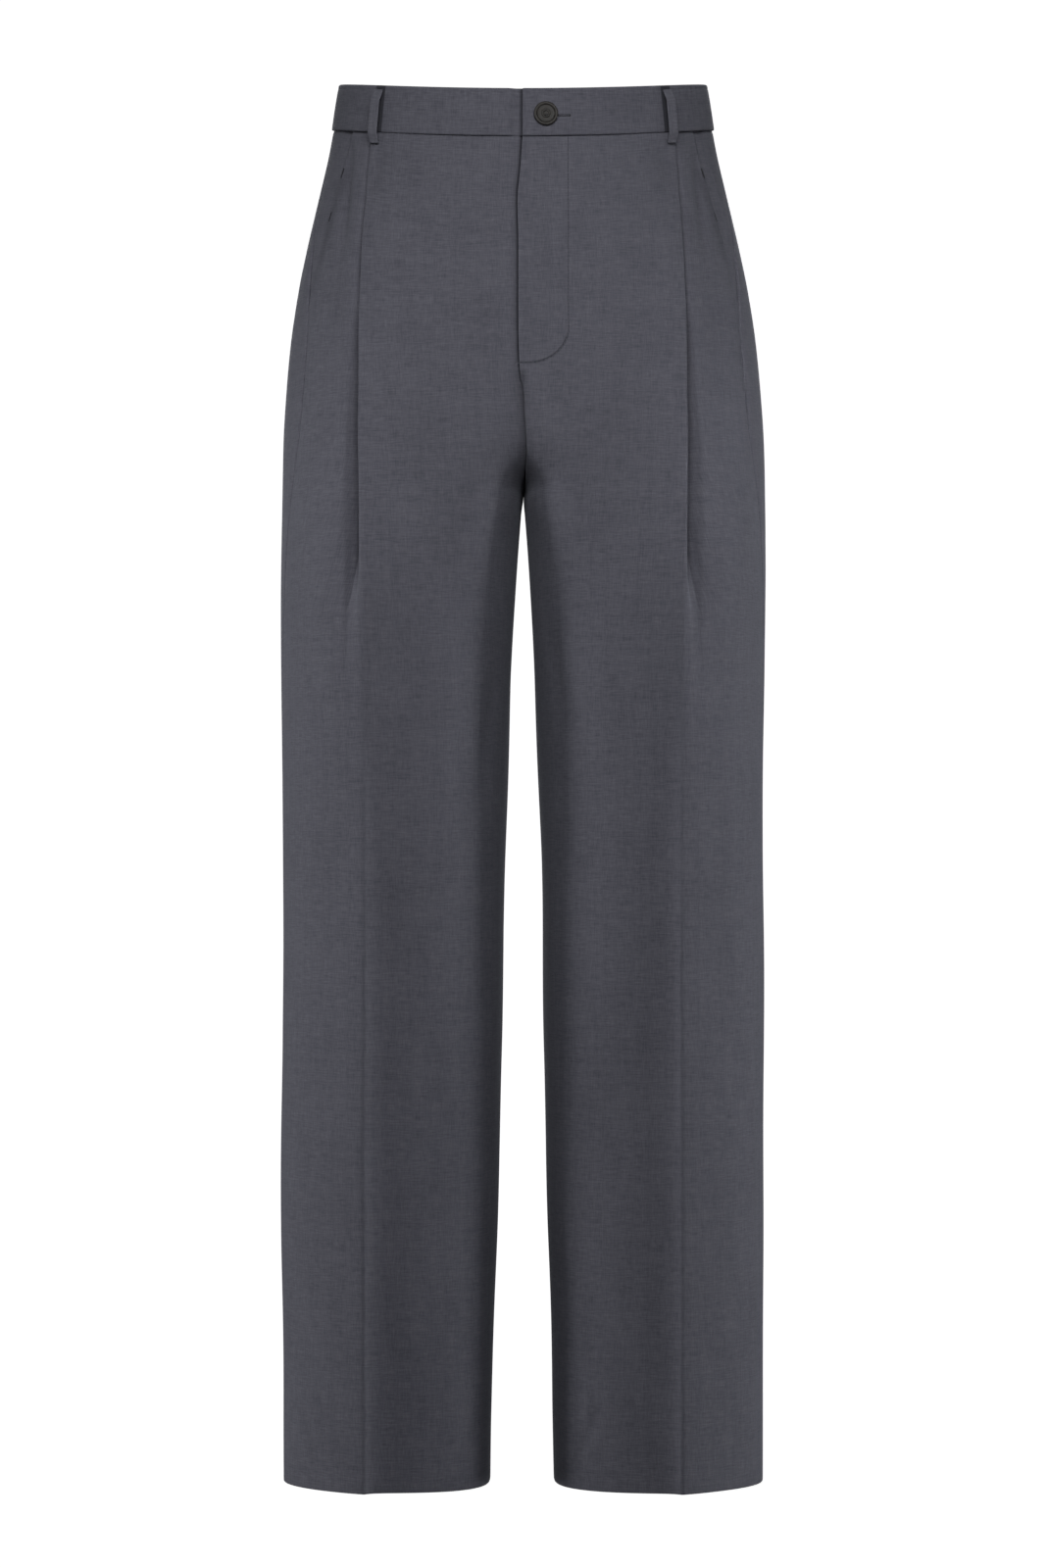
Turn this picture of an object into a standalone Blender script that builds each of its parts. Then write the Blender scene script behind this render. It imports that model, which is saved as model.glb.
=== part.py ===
"""Pleated dress trousers, hollow, held up at the waist as when worn.

The trousers hang with their front towards -Y and the wearer's left side at +X. The origin is the centre of
the waist, half way up the waistband. All sizes are in metres.

Every piece of cloth is laid out on the same closed outline. At each height that outline runs from the
centre front (or the inseam) over the front crease to the side, and back over the back crease. A point on a
piece is given by s, its distance along the outline, and by n, its distance outwards from it.
"""

import math
from collections import namedtuple

import bmesh
import bpy
import numpy as np
from mathutils import Matrix, Vector

# ---------------------------------------------------------------- driving sizes

WALL = 0.0012  # cloth of the legs
SEAM = 0.0003  # gap between two pieces at a seam
LAYER = WALL + SEAM  # from one layer of cloth to the one it lies on

BAND_WALL = 0.0024  # waistband, two layers of cloth on its stiffening
BAND_HEIGHT = 0.037
BAND_PROUD = 0.0008  # how far the middle of the band's wall lies outside the cloth below it
BAND_UNDERLAP = 0.036  # how far the right end of the band runs on under the left one
BAND_LEFT_START = 0.008  # the band's evenly spaced columns start this far from the centre front
BAND_RIGHT_START = 0.020
TOP_EDGE_DROP = SEAM / 2 + WALL / 8  # the panels' top edges lie this far below the waist seam

TOP_Z = 0.0185  # top edge of the waistband at the sides
TOP_SLOPE = 0.1438  # the top edge falls to the front and rises to the back
TOP_BEND = -0.49
SEAM_Z = TOP_Z - BAND_HEIGHT  # waist seam at the sides
LEVEL_Z = -0.24  # from here down the rows of the cloth are level
HEM_Z = -1.102

CROTCH_Z = -0.3146
CROTCH_Y = 0.006
FORK_START_Z = -0.225  # from here down to the crotch the centre seams curve under
FORK_SLOPE = 0.085  # above the crotch the leg's inner side runs on past the centre: at first by this slope
FORK_CURVE = 9.0  # and then by this share of the height squared
LEG_START_Z = -0.20  # between these heights the hip's outline turns into the leg's at the creases
LEG_END_Z = -0.40
FORK_REACH = 0.065  # how far from the centre the cloth is drawn under with the seams
INNER_SQUARE = 2.7  # how square a leg's inner and outer sides are (2 is an ellipse)
OUTER_SQUARE = 2.15

FLY_EDGE_X = -0.0024  # edge of the left front, lapped over the right one
FLY_UNDERLAP = 0.015
FLY_END_Z = -0.2194
FLY_RELEASE = 0.012  # height over which the lap ends
FLY_STEP_FROM = 0.010  # the right front steps in under the lap between these distances from the centre
FLY_STEP_TO = 0.0045

PLEAT_RISE_LENGTH = 0.075  # the lifted edge of the pleat dies out over this width towards the centre
PLEAT_FALL_LENGTH = 0.040  # and the cloth beside it over this width towards the side
SHORTEST_STEP = 0.0012  # spacing of the points at the crease where the pleat has opened flat

POCKET_END_Z = -0.172
FACING_UNDER = 0.012  # how far the pocket facing runs on under the front
FACING_RISE = 0.020  # width over which the facing comes up level with the back

LOOP_WIDTH = 0.0090
LOOP_WALL = 0.0016
LOOP_GAP = 0.0034  # clear space behind the middle of a loop
CENTRE_LOOP_GAP = 0.0056  # the centre back loop stands further off
LOOP_TOP = 0.0035  # from the top edge of the band down to the loop
LOOP_TAIL = 0.0085  # from the waist seam down to the loop's lower end
LOOP_TAIL_LIFT = 0.00055  # the lower end lies this much further out, on the lifted edge of the pleat
LOOP_RISE = 0.23  # share of the loop's length over which it rises from the cloth at each end

BUTTON_RADIUS = 0.0094
BUTTON_HEIGHT = 0.0038
BUTTON_X = 0.0175
BUTTON_DROP = 0.0215  # from the top edge of the band down to the button's centre
BUTTON_FOOT = 0.004  # the band's slope under the button is taken this far round its centre

# ---------------------------------------------------------------- tables of the outline

# The widths seen from the front: the side, the pleat or front crease, and the back crease.
Width = namedtuple("Width", "z side_x crease_x back_crease_x")
WIDTHS = (
    Width(0.0185, 0.1457, 0.1150, 0.0800),
    Width(-0.0185, 0.1516, 0.1180, 0.0860),
    Width(-0.0335, 0.1543, 0.1190, 0.0890),
    Width(-0.0728, 0.1630, 0.1217, 0.0950),
    Width(-0.1122, 0.1717, 0.1244, 0.1010),
    Width(-0.1516, 0.1795, 0.1259, 0.1050),
    Width(-0.1909, 0.1854, 0.1270, 0.1085),
    Width(-0.2303, 0.1890, 0.1281, 0.1105),
    Width(-0.2697, 0.1913, 0.1289, 0.1120),
    Width(-0.3091, 0.1921, 0.1286, 0.1130),
    Width(-0.3484, 0.1926, 0.1283, 0.1130),
    Width(-0.3878, 0.1929, 0.1275, 0.1125),
    Width(-0.4270, 0.1929, 0.1248, 0.1120),
    Width(-0.4665, 0.1929, 0.1234, 0.1115),
    Width(-0.5453, 0.1928, 0.1232, 0.1110),
    Width(-0.7028, 0.1927, 0.1236, 0.1110),
    Width(-0.8602, 0.1928, 0.1245, 0.1115),
    Width(-1.0177, 0.1926, 0.1248, 0.1120),
    Width(-1.1020, 0.1921, 0.1248, 0.1120),
)

# The depths of the hip's outline at the centre front and centre back, and how square it is (2 is an ellipse).
Hip = namedtuple("Hip", "z front_y back_y square")
HIPS = (
    Hip(0.0185, -0.1085, 0.1085, 2.00),
    Hip(-0.0185, -0.1130, 0.1135, 2.00),
    Hip(-0.0728, -0.1195, 0.1250, 2.05),
    Hip(-0.1300, -0.1250, 0.1385, 2.15),
    Hip(-0.1909, -0.1275, 0.1465, 2.25),
    Hip(-0.2303, -0.1275, 0.1475, 2.30),
    Hip(-0.2900, -0.1250, 0.1420, 2.30),
    Hip(-0.4000, -0.1150, 0.1220, 2.30),
)

# The leg's outline: its inner side, its depth at the creases, and how sharply it is pressed there
# (1 is round, 2 is a straight-sided edge).
Leg = namedtuple("Leg", "z inner_x front_y back_y pressed back_pressed")
LEGS = (
    Leg(-0.2000, 0.00075, -0.1285, 0.1460, 1.00, 1.00),
    Leg(-0.3146, 0.00075, -0.1240, 0.1330, 1.00, 1.00),
    Leg(-0.3300, 0.00200, -0.1225, 0.1300, 1.00, 1.02),
    Leg(-0.3484, 0.00340, -0.1210, 0.1270, 1.02, 1.05),
    Leg(-0.3878, 0.00590, -0.1170, 0.1210, 1.06, 1.12),
    Leg(-0.4665, 0.01060, -0.1085, 0.1115, 1.22, 1.25),
    Leg(-0.5453, 0.01340, -0.1000, 0.1030, 1.34, 1.34),
    Leg(-0.7028, 0.01690, -0.0860, 0.0890, 1.42, 1.42),
    Leg(-0.8602, 0.01970, -0.0750, 0.0780, 1.45, 1.45),
    Leg(-1.0177, 0.02400, -0.0665, 0.0700, 1.45, 1.45),
    Leg(-1.1020, 0.02640, -0.0630, 0.0670, 1.45, 1.45),
)

# Where the slanted pocket edge and the side seam lie, as their Y.
SideLine = namedtuple("SideLine", "z pocket_y seam_y")
SIDE_LINES = (
    SideLine(-0.0185, -0.0513, -0.0100),
    SideLine(-0.0460, -0.0513, -0.0140),
    SideLine(-0.0800, -0.0520, -0.0230),
    SideLine(-0.1180, -0.0515, -0.0350),
    SideLine(-0.1500, -0.0510, -0.0450),
    SideLine(-0.1720, -0.0538, -0.0538),
    SideLine(-0.2000, -0.0580, -0.0580),
    SideLine(-0.2300, -0.0605, -0.0605),
    SideLine(-0.2660, -0.0630, -0.0630),
    SideLine(-0.3000, -0.0597, -0.0597),
    SideLine(-0.3320, -0.0520, -0.0520),
    SideLine(-0.3560, -0.0440, -0.0440),
    SideLine(-0.3850, -0.0310, -0.0310),
    SideLine(-0.4200, -0.0160, -0.0160),
    SideLine(-0.4700, -0.0040, -0.0040),
    SideLine(-0.5400, 0.0000, 0.0000),
    SideLine(-1.1020, 0.0020, 0.0020),
)

# The pleat: how far its cloth is folded under, the angle it is turned through, and the spacing of its layers.
Pleat = namedtuple("Pleat", "z under turn layer")
PLEATS = (
    Pleat(-0.0185, 0.0200, 180.0, 0.0017),
    Pleat(-0.1500, 0.0165, 180.0, 0.0018),
    Pleat(-0.2000, 0.0140, 180.0, 0.0024),
    Pleat(-0.2400, 0.0115, 180.0, 0.0031),
    Pleat(-0.2900, 0.0085, 178.0, 0.0034),
    Pleat(-0.3300, 0.0055, 165.0, 0.0030),
    Pleat(-0.3600, 0.0035, 130.0, 0.0022),
    Pleat(-0.3900, 0.0022, 80.0, 0.0016),
    Pleat(-0.4200, 0.0015, 35.0, 0.0012),
    Pleat(-0.4700, 0.0015, 8.0, 0.0010),
    Pleat(-0.5400, 0.0015, 0.0, 0.0010),
    Pleat(-1.1020, 0.0015, 0.0, 0.0010),
)

# Heights of the rows of points, close together where the seams curve under the body.
ROW_HEIGHTS = (
    (SEAM_Z, -0.045, -0.075, -0.105, -0.135, -0.1620, -0.1720, -0.192)
    + (FLY_END_Z + FLY_RELEASE, FLY_END_Z, FLY_END_Z - FLY_RELEASE)
    + (-0.246, -0.262, -0.277, -0.290, -0.300, -0.3070, -0.3120, CROTCH_Z)
    + (-0.322, -0.335, -0.355, -0.385, -0.420, -0.470, -0.530, -0.600, -0.680, -0.770, -0.870, -0.980, HEM_Z)
)

FRONT_LOOP_PLACE = -0.0055  # the front loops lie this far from the pleats, towards the centre
BACK_LOOP_SHARE = 0.68  # and the back ones at this share of the way round from the front to the back

CLOTH_COLOUR = (0.083, 0.087, 0.104, 1.0)
BUTTON_COLOUR = (0.022, 0.020, 0.019, 1.0)

# ---------------------------------------------------------------- reading the tables


def column(table, name, z):
    """A column of a table at height z, on a smooth curve that never overshoots its rows."""
    rows = sorted(table, key=lambda row: row.z)
    heights = np.array([row.z for row in rows])
    values = np.array([getattr(row, name) for row in rows])
    steps = np.diff(heights)
    slopes = np.diff(values) / steps
    tangents = np.zeros(len(rows))
    for i in range(1, len(rows) - 1):
        before, after = slopes[i - 1], slopes[i]
        if before * after > 0:
            first = 2 * steps[i] + steps[i - 1]
            second = steps[i] + 2 * steps[i - 1]
            tangents[i] = (first + second) / (first / before + second / after)
    tangents[0], tangents[-1] = slopes[0], slopes[-1]
    z = min(max(z, heights[0]), heights[-1])
    i = min(int(np.searchsorted(heights, z, side="right")) - 1, len(steps) - 1)
    t = (z - heights[i]) / steps[i]
    start = (1 + 2 * t) * (1 - t) ** 2 * values[i] + t * (1 - t) ** 2 * steps[i] * tangents[i]
    end = t * t * (3 - 2 * t) * values[i + 1] + t * t * (t - 1) * steps[i] * tangents[i + 1]
    return float(start + end)


def ease(t):
    """0 up to t = 0, 1 from t = 1, and smooth between them."""
    t = np.clip(t, 0.0, 1.0)
    return t * t * (3 - 2 * t)


# ---------------------------------------------------------------- the outline at one height

ARC_POINTS = 241  # points along each part of the outline


def hip_depth(x, side_x, centre_y, square):
    """Y of the hip's outline at x: level at the centre, and upright at the side."""
    return centre_y * (1 - np.clip(x / side_x, 0.0, 1.0) ** square) ** (1 / square)


def leg_depth(x, crease, edge, pressed, square):
    """Y of the leg's outline at x, from its pressed crease to one of its edges, where it is upright."""
    share = np.clip((x - crease[0]) / (edge[0] - crease[0]), 0.0, 1.0)
    return edge[1] + (crease[1] - edge[1]) * (1 - share ** (2 / pressed)) ** (1 / square)


def inner_side(z):
    """X of the leg's inner side. Above the crotch it lies past the centre, where the other leg's begins."""
    above = z - CROTCH_Z
    if above < 0:
        return column(LEGS, "inner_x", z)
    return (SEAM + WALL) / 2 - FORK_SLOPE * above - FORK_CURVE * above * above


def half_outline(z, crease_x, centre_y, square, crease_y, pressed):
    """The front or back half of the outline, from its inner end to the side, and where its crease is."""
    side_x = column(WIDTHS, "side_x", z)
    inner_x = inner_side(z)
    under = float(ease((FORK_START_Z - z) / (FORK_START_Z - CROTCH_Z)))
    leg_share = float(ease((LEG_START_Z - z) / (LEG_START_Z - LEG_END_Z)))
    turn = np.linspace(0.0, math.pi / 2, ARC_POINTS)
    crease = (crease_x, crease_y)

    def inner_depth(x, start):
        share = under + (leg_share - under) * ease((x - start) / FORK_REACH)
        leg = leg_depth(x, crease, (inner_x, CROTCH_Y), pressed, INNER_SQUARE)
        return hip_depth(x, side_x, centre_y, square) * (1 - share) + leg * share

    start_x = inner_x
    if z >= CROTCH_Z:  # the two legs' walls face each other, each half its thickness off the centre
        slope = (inner_depth(WALL, 0.0) - inner_depth(0.0, 0.0)) / WALL
        start_x = (SEAM + WALL) / 2 * abs(slope) / math.hypot(1.0, slope)
    x = start_x + (crease_x - start_x) * (1 - np.cos(turn))
    inner = np.stack([x, inner_depth(x, start_x)], axis=1)

    x = crease_x + (side_x - crease_x) * np.sin(turn)
    hip = hip_depth(x, side_x, centre_y, square)
    leg = leg_depth(x, crease, (side_x, 0.0), pressed, OUTER_SQUARE)
    outer = np.stack([x, hip * (1 - leg_share) + leg * leg_share], axis=1)
    return np.concatenate([inner, outer[1:]]), ARC_POINTS - 1


class Outline:
    """The outline round one half of the trousers at height z, measured by its length s from the front."""

    def __init__(self, z):
        self.z = z
        front, front_crease = half_outline(
            z,
            column(WIDTHS, "crease_x", z),
            column(HIPS, "front_y", z),
            column(HIPS, "square", z),
            column(LEGS, "front_y", z),
            column(LEGS, "pressed", z),
        )
        back, back_crease = half_outline(
            z,
            column(WIDTHS, "back_crease_x", z),
            column(HIPS, "back_y", z),
            column(HIPS, "square", z),
            column(LEGS, "back_y", z),
            column(LEGS, "back_pressed", z),
        )
        self.points = np.concatenate([front, back[::-1][1:]])
        steps = np.linalg.norm(np.diff(self.points, axis=0), axis=1)
        self.s = np.concatenate([[0.0], np.cumsum(steps)])
        self.length = float(self.s[-1])
        self.front_crease = float(self.s[front_crease])
        self.back_crease = float(self.s[len(self.points) - 1 - back_crease])
        self.side = float(self.s[len(front) - 1])
        tangents = np.gradient(self.points, self.s, axis=0)
        tangents /= np.linalg.norm(tangents, axis=1)[:, None]
        self.normals = np.stack([tangents[:, 1], -tangents[:, 0]], axis=1)

    def inner_shares(self, count, back=False):
        """Shares of the length from the centre to a crease, closest together where the cloth turns under."""
        lengths = self.length - self.s[::-1] if back else self.s
        picked = lengths[np.linspace(0, ARC_POINTS - 1, count + 1).round().astype(int)]
        return picked / picked[-1]

    def at(self, s, n=0.0):
        """The place s along the outline and n outside it. Past the centre it goes on as its mirror image."""
        mirrored = s < 0
        place = [np.interp(abs(s), self.s, self.points[:, k]) for k in range(2)]
        normal = [np.interp(abs(s), self.s, self.normals[:, k]) for k in range(2)]
        x = place[0] + n * normal[0]
        return (-x if mirrored else x), place[1] + n * normal[1], place[1]

    def s_at_y(self, y):
        """Where the outer part of the front half passes y."""
        first = np.searchsorted(self.s, self.front_crease)
        last = np.searchsorted(self.s, self.side)
        return float(np.interp(y, self.points[first : last + 1, 1], self.s[first : last + 1]))

    def pocket(self):
        return self.s_at_y(column(SIDE_LINES, "pocket_y", self.z))

    def side_seam(self):
        return self.s_at_y(column(SIDE_LINES, "seam_y", self.z))


OUTLINES = {}


def outline(z):
    if z not in OUTLINES:
        OUTLINES[z] = Outline(z)
    return OUTLINES[z]


def waist_tilt(y):
    """How far the waist lies above its height at the sides."""
    return TOP_SLOPE * y + TOP_BEND * y * y


def cloth_point(z, s, n, side, lift=0.0):
    """A point of the cloth below the waist seam; side is 1 for the wearer's left and -1 for the right."""
    x, y, flat_y = outline(z).at(s, n)
    tilt = waist_tilt(flat_y) * float(ease((z - LEVEL_Z) / (SEAM_Z - LEVEL_Z)))
    return Vector((side * x, y, z + tilt + lift))


# ---------------------------------------------------------------- making objects


def clear_scene():
    for obj in list(bpy.data.objects):
        bpy.data.objects.remove(obj, do_unlink=True)


def make_material(name, colour, roughness):
    material = bpy.data.materials.new(name)
    material.use_nodes = True
    shader = material.node_tree.nodes["Principled BSDF"]
    shader.inputs["Base Color"].default_value = colour
    shader.inputs["Roughness"].default_value = roughness
    return material


def sheet_object(name, rows, thickness, material, flip):
    """A panel of cloth through rows of points, thickened evenly to both sides."""
    mesh = bpy.data.meshes.new(name)
    work = bmesh.new()
    grid = [[work.verts.new(point) for point in row] for row in rows]
    for upper, lower in zip(grid[:-1], grid[1:]):
        for i in range(len(upper) - 1):
            corners = (upper[i], lower[i], lower[i + 1], upper[i + 1])
            work.faces.new(corners[::-1] if flip else corners)
    work.to_mesh(mesh)
    work.free()
    mesh.materials.append(material)
    panel = bpy.data.objects.new(name, mesh)
    bpy.context.scene.collection.objects.link(panel)
    wall = panel.modifiers.new("Wall", "SOLIDIFY")
    wall.thickness = thickness
    wall.offset = 0.0
    mesh.shade_smooth()
    return panel


# ---------------------------------------------------------------- the fronts, with the pleat and the fly

TURN_STEPS = 4  # steps in which the pleat turns over, and in which it turns back
CENTRE_COLUMNS = 8
OUTER_COLUMNS = 7
EDGE_STEP = 0.0015  # the columns beside a seam lie this close to it, so that the edge is cut square


def pleat_path(z):
    """The pleat's fold as (s, n) steps from its outer edge: out, back under, and out again."""
    under = column(PLEATS, "under", z)
    turn = math.radians(column(PLEATS, "turn", z))
    layer = column(PLEATS, "layer", z)
    open_share = 1 - turn / math.pi
    step = layer / 2 * turn / TURN_STEPS + open_share * SHORTEST_STEP
    directions = [-turn * (k + 0.5) / TURN_STEPS for k in range(TURN_STEPS)]
    moves = [(step, angle) for angle in directions]
    moves += [(under / 2, -turn)] * 2
    moves += [(step, angle) for angle in reversed(directions)]
    path = [(0.0, 0.0)]
    for length, angle in moves:
        s, n = path[-1]
        path.append((s + length * math.cos(angle), n + length * math.sin(angle)))
    edge_s = path[TURN_STEPS // 2][0]
    middle_n = path[-1][1] / 2
    return [(s - edge_s, n - middle_n) for s, n in path]


def fly_edge(z, side):
    """The front edge of a front: its s, where it leaves the step under the lap, and how far in it lies."""
    if side > 0:
        closing = float(ease((FLY_END_Z - z) / (2 * FLY_RELEASE)))
        return FLY_EDGE_X + (SEAM / 2 - FLY_EDGE_X) * closing, 0.0
    if z > FLY_END_Z + FLY_RELEASE / 2:
        return -FLY_UNDERLAP, -LAYER
    if z > FLY_END_Z - FLY_RELEASE / 2:
        return -FLY_EDGE_X + SEAM, -LAYER
    closing = float(ease((FLY_END_Z - z) / (2 * FLY_RELEASE)))
    return SEAM - FLY_EDGE_X + (SEAM / 2 - SEAM + FLY_EDGE_X) * closing, 0.0


def sunk_beside_pleat(z, s):
    """How deep the cloth between the pleat and the pocket lies at s, where the centre panel laps over it."""
    fall = float(ease(1 - (s - outline(z).front_crease) / PLEAT_FALL_LENGTH))
    return pleat_path(z)[-1][1] * fall


def front_row(z, side):
    """One row of a front: (s, n) from the fly or inseam to the pocket edge or side seam."""
    around = outline(z)
    fold = [(around.front_crease + s, n) for s, n in pleat_path(z)]
    lifted = fold[0][1]
    edge_s, edge_n = fly_edge(z, side)
    centre = [(edge_s, edge_n)]
    if side < 0:
        centre += [(FLY_STEP_TO, edge_n), (FLY_STEP_FROM, 0.0)]
    else:
        centre += [(edge_s + EDGE_STEP, edge_n)]
    start = centre[-1][0]
    under = column(PLEATS, "under", z)
    over_fold = [fold[0][0] - under, fold[0][0] - under / 2]
    shares = around.inner_shares(CENTRE_COLUMNS)[1:-1]
    for s in [start + (over_fold[0] - start) * share for share in shares] + over_fold:
        rise = float(ease(1 - (fold[0][0] - s) / PLEAT_RISE_LENGTH))
        centre.append((s, lifted * rise))
    if z > POCKET_END_Z:
        end = around.pocket()
    else:
        end = around.side_seam() - SEAM / 2
    outer = []
    for k in range(1, OUTER_COLUMNS + 1):
        s = fold[-1][0] + (end - fold[-1][0]) * k / OUTER_COLUMNS
        outer.append((s, sunk_beside_pleat(z, s)))
    outer.insert(-1, (end - EDGE_STEP, sunk_beside_pleat(z, end)))
    return centre + fold + outer


def make_front(name, side, cloth):
    rows = []
    for z in ROW_HEIGHTS:
        lift = -TOP_EDGE_DROP if z == SEAM_Z else 0.0
        rows.append([cloth_point(z, s, n, side, lift) for s, n in front_row(z, side)])
    return sheet_object(name, rows, WALL, cloth, side < 0)


# ---------------------------------------------------------------- the backs

BACK_OUTER_COLUMNS = 9
BACK_INNER_COLUMNS = 8


def make_back(name, side, cloth):
    rows = []
    for z in ROW_HEIGHTS:
        around = outline(z)
        start = around.side_seam() + SEAM / 2
        end = around.length - SEAM / 2
        outer = np.linspace(start + EDGE_STEP, around.back_crease, BACK_OUTER_COLUMNS)
        shares = around.inner_shares(BACK_INNER_COLUMNS, back=True)[1:-1]
        inner = [end - EDGE_STEP - (end - EDGE_STEP - around.back_crease) * share for share in shares]
        lift = -TOP_EDGE_DROP if z == SEAM_Z else 0.0
        places = [start] + list(outer) + inner[::-1] + [end - EDGE_STEP, end]
        rows.append([cloth_point(z, s, 0.0, side, lift) for s in places])
    return sheet_object(name, rows, WALL, cloth, side < 0)


# ---------------------------------------------------------------- the pocket facings

FACING_COLUMNS = 6


def make_facing(name, side, cloth):
    """The strip of cloth that shows in the slanted pocket, from under the front to the side seam."""
    rows = []
    for z in [height for height in ROW_HEIGHTS if height >= POCKET_END_Z]:
        around = outline(z)
        pocket, seam = around.pocket(), around.side_seam() - SEAM / 2
        lift = -TOP_EDGE_DROP if z == SEAM_Z else 0.0
        under = -LAYER - SEAM
        wide = float(ease((seam - pocket - FACING_RISE / 3) / FACING_RISE))
        start = min(pocket, seam - FACING_RISE / 3)
        row = [(start - FACING_UNDER * (2 - k) / 2, 0.0) for k in range(2)]
        for k in range(FACING_COLUMNS + 1):
            s = start + (seam - start) * k / FACING_COLUMNS
            row.append((s, float(ease((s - pocket - WALL) / FACING_RISE)) * wide))
        depths = [under * (1 - rise) + sunk_beside_pleat(z, s) for s, rise in row]
        rows.append([cloth_point(z, s, n, side, lift) for (s, _), n in zip(row, depths)])
    return sheet_object(name, rows, WALL, cloth, side < 0)


# ---------------------------------------------------------------- the waistband

BAND_ROWS = 4
BAND_COLUMNS = 26


def band_point(s, down, n, side):
    """A point of the waistband: s along the outline, the distance below its top edge, and n outwards."""
    z = round(TOP_Z - down, 6)
    x, y, flat_y = outline(z).at(s, n + BAND_PROUD)
    return Vector((side * x, y, z + waist_tilt(flat_y)))


def make_band(name, side, cloth):
    """Half of the waistband, from the fly to the centre back."""
    rows = []
    under = -BAND_WALL - SEAM
    for k in range(BAND_ROWS + 1):
        down = (BAND_HEIGHT - SEAM) * k / BAND_ROWS
        length = outline(round(TOP_Z - down, 6)).length
        if side > 0:
            places = [(FLY_EDGE_X, 0.0)]
            start = BAND_LEFT_START
        else:
            places = [(-BAND_UNDERLAP * (3 - j) / 3, under) for j in range(3)]
            places += [(FLY_STEP_TO - SEAM, under), (FLY_STEP_FROM + 2 * SEAM, 0.0)]
            start = BAND_RIGHT_START
        places += [(s, 0.0) for s in np.linspace(start, length - SEAM / 2, BAND_COLUMNS)]
        rows.append([band_point(s, down, n, side) for s, n in places])
    return sheet_object(name, rows, BAND_WALL, cloth, side < 0)


# ---------------------------------------------------------------- the belt loops

LOOP_STEPS = 12


def loop_profile(share, gap):
    """The loop's distance out from the cloth and down from the band's top edge, at a share of its length."""
    sewn = BAND_PROUD + BAND_WALL / 2 + SEAM + LOOP_WALL / 2
    rise = float(ease(share / LOOP_RISE) * ease((1 - share) / LOOP_RISE))
    n = sewn + LOOP_TAIL_LIFT * share + (gap - SEAM) * rise
    down = LOOP_TOP + (BAND_HEIGHT + LOOP_TAIL - LOOP_TOP) * share
    return n, down


def make_loop(name, at_front, side, cloth):
    rows = []
    for k in range(LOOP_STEPS + 1):
        n, down = loop_profile(k / LOOP_STEPS, LOOP_GAP)
        z = round(TOP_Z - down, 6)
        around = outline(z)
        centre = around.front_crease + FRONT_LOOP_PLACE if at_front else around.length * BACK_LOOP_SHARE
        row = []
        for across in (-0.5, 0.0, 0.5):
            x, y, flat_y = outline(z).at(centre + across * LOOP_WIDTH, n)
            row.append(Vector((side * x, y, z + waist_tilt(flat_y))))
        rows.append(row)
    return sheet_object(name, rows, LOOP_WALL, cloth, side < 0)


def make_centre_back_loop(name, cloth):
    rows = []
    for k in range(LOOP_STEPS + 1):
        n, down = loop_profile(k / LOOP_STEPS, CENTRE_LOOP_GAP)
        z = round(TOP_Z - down, 6)
        _, y, flat_y = outline(z).at(outline(z).length, n)
        half = LOOP_WIDTH / 2
        rows.append([Vector((x, y, z + waist_tilt(flat_y))) for x in (half, 0.0, -half)])
    return sheet_object(name, rows, LOOP_WALL, cloth, False)


# ---------------------------------------------------------------- the button

# Turned profile of the button as (radius, height) in shares of its radius and its height, from the back.
BUTTON_PROFILE = (
    (0.00, 0.00),
    (0.34, 0.00),
    (0.80, 0.16),
    (0.97, 0.42),
    (1.00, 0.62),
    (0.95, 0.88),
    (0.84, 1.00),
    (0.74, 0.92),
    (0.64, 0.70),
    (0.30, 0.64),
    (0.24, 0.80),
    (0.13, 0.78),
    (0.00, 0.66),
)
BUTTON_SEGMENTS = 28


def make_button(name, material):
    z = round(TOP_Z - BUTTON_DROP, 6)
    face = BAND_PROUD + BAND_WALL / 2 + SEAM
    x, y, flat_y = outline(z).at(BUTTON_X, face)
    lower = band_point(BUTTON_X, BUTTON_DROP + BUTTON_FOOT, 0.0, 1)
    upper = band_point(BUTTON_X, BUTTON_DROP - BUTTON_FOOT, 0.0, 1)
    inner = band_point(BUTTON_X - BUTTON_FOOT, BUTTON_DROP, 0.0, 1)
    outer = band_point(BUTTON_X + BUTTON_FOOT, BUTTON_DROP, 0.0, 1)
    axis = (outer - inner).cross(upper - lower).normalized()
    foot = Vector((x, y, z + waist_tilt(flat_y))) + axis * SEAM
    mesh = bpy.data.meshes.new(name)
    work = bmesh.new()
    profile = [
        work.verts.new((radius * BUTTON_RADIUS, 0.0, height * BUTTON_HEIGHT))
        for radius, height in BUTTON_PROFILE
    ]
    edges = [work.edges.new(pair) for pair in zip(profile[:-1], profile[1:])]
    bmesh.ops.spin(
        work,
        geom=profile + edges,
        cent=(0, 0, 0),
        axis=(0, 0, 1),
        angle=math.tau,
        steps=BUTTON_SEGMENTS,
        use_merge=True,
    )
    bmesh.ops.remove_doubles(work, verts=work.verts, dist=1e-6)
    bmesh.ops.recalc_face_normals(work, faces=work.faces)
    work.to_mesh(mesh)
    work.free()
    mesh.materials.append(material)
    mesh.shade_smooth()
    button = bpy.data.objects.new(name, mesh)
    bpy.context.scene.collection.objects.link(button)
    button.matrix_world = Matrix.Translation(foot) @ axis.to_track_quat("Z", "Y").to_matrix().to_4x4()
    return button


# ---------------------------------------------------------------- the trousers


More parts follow.
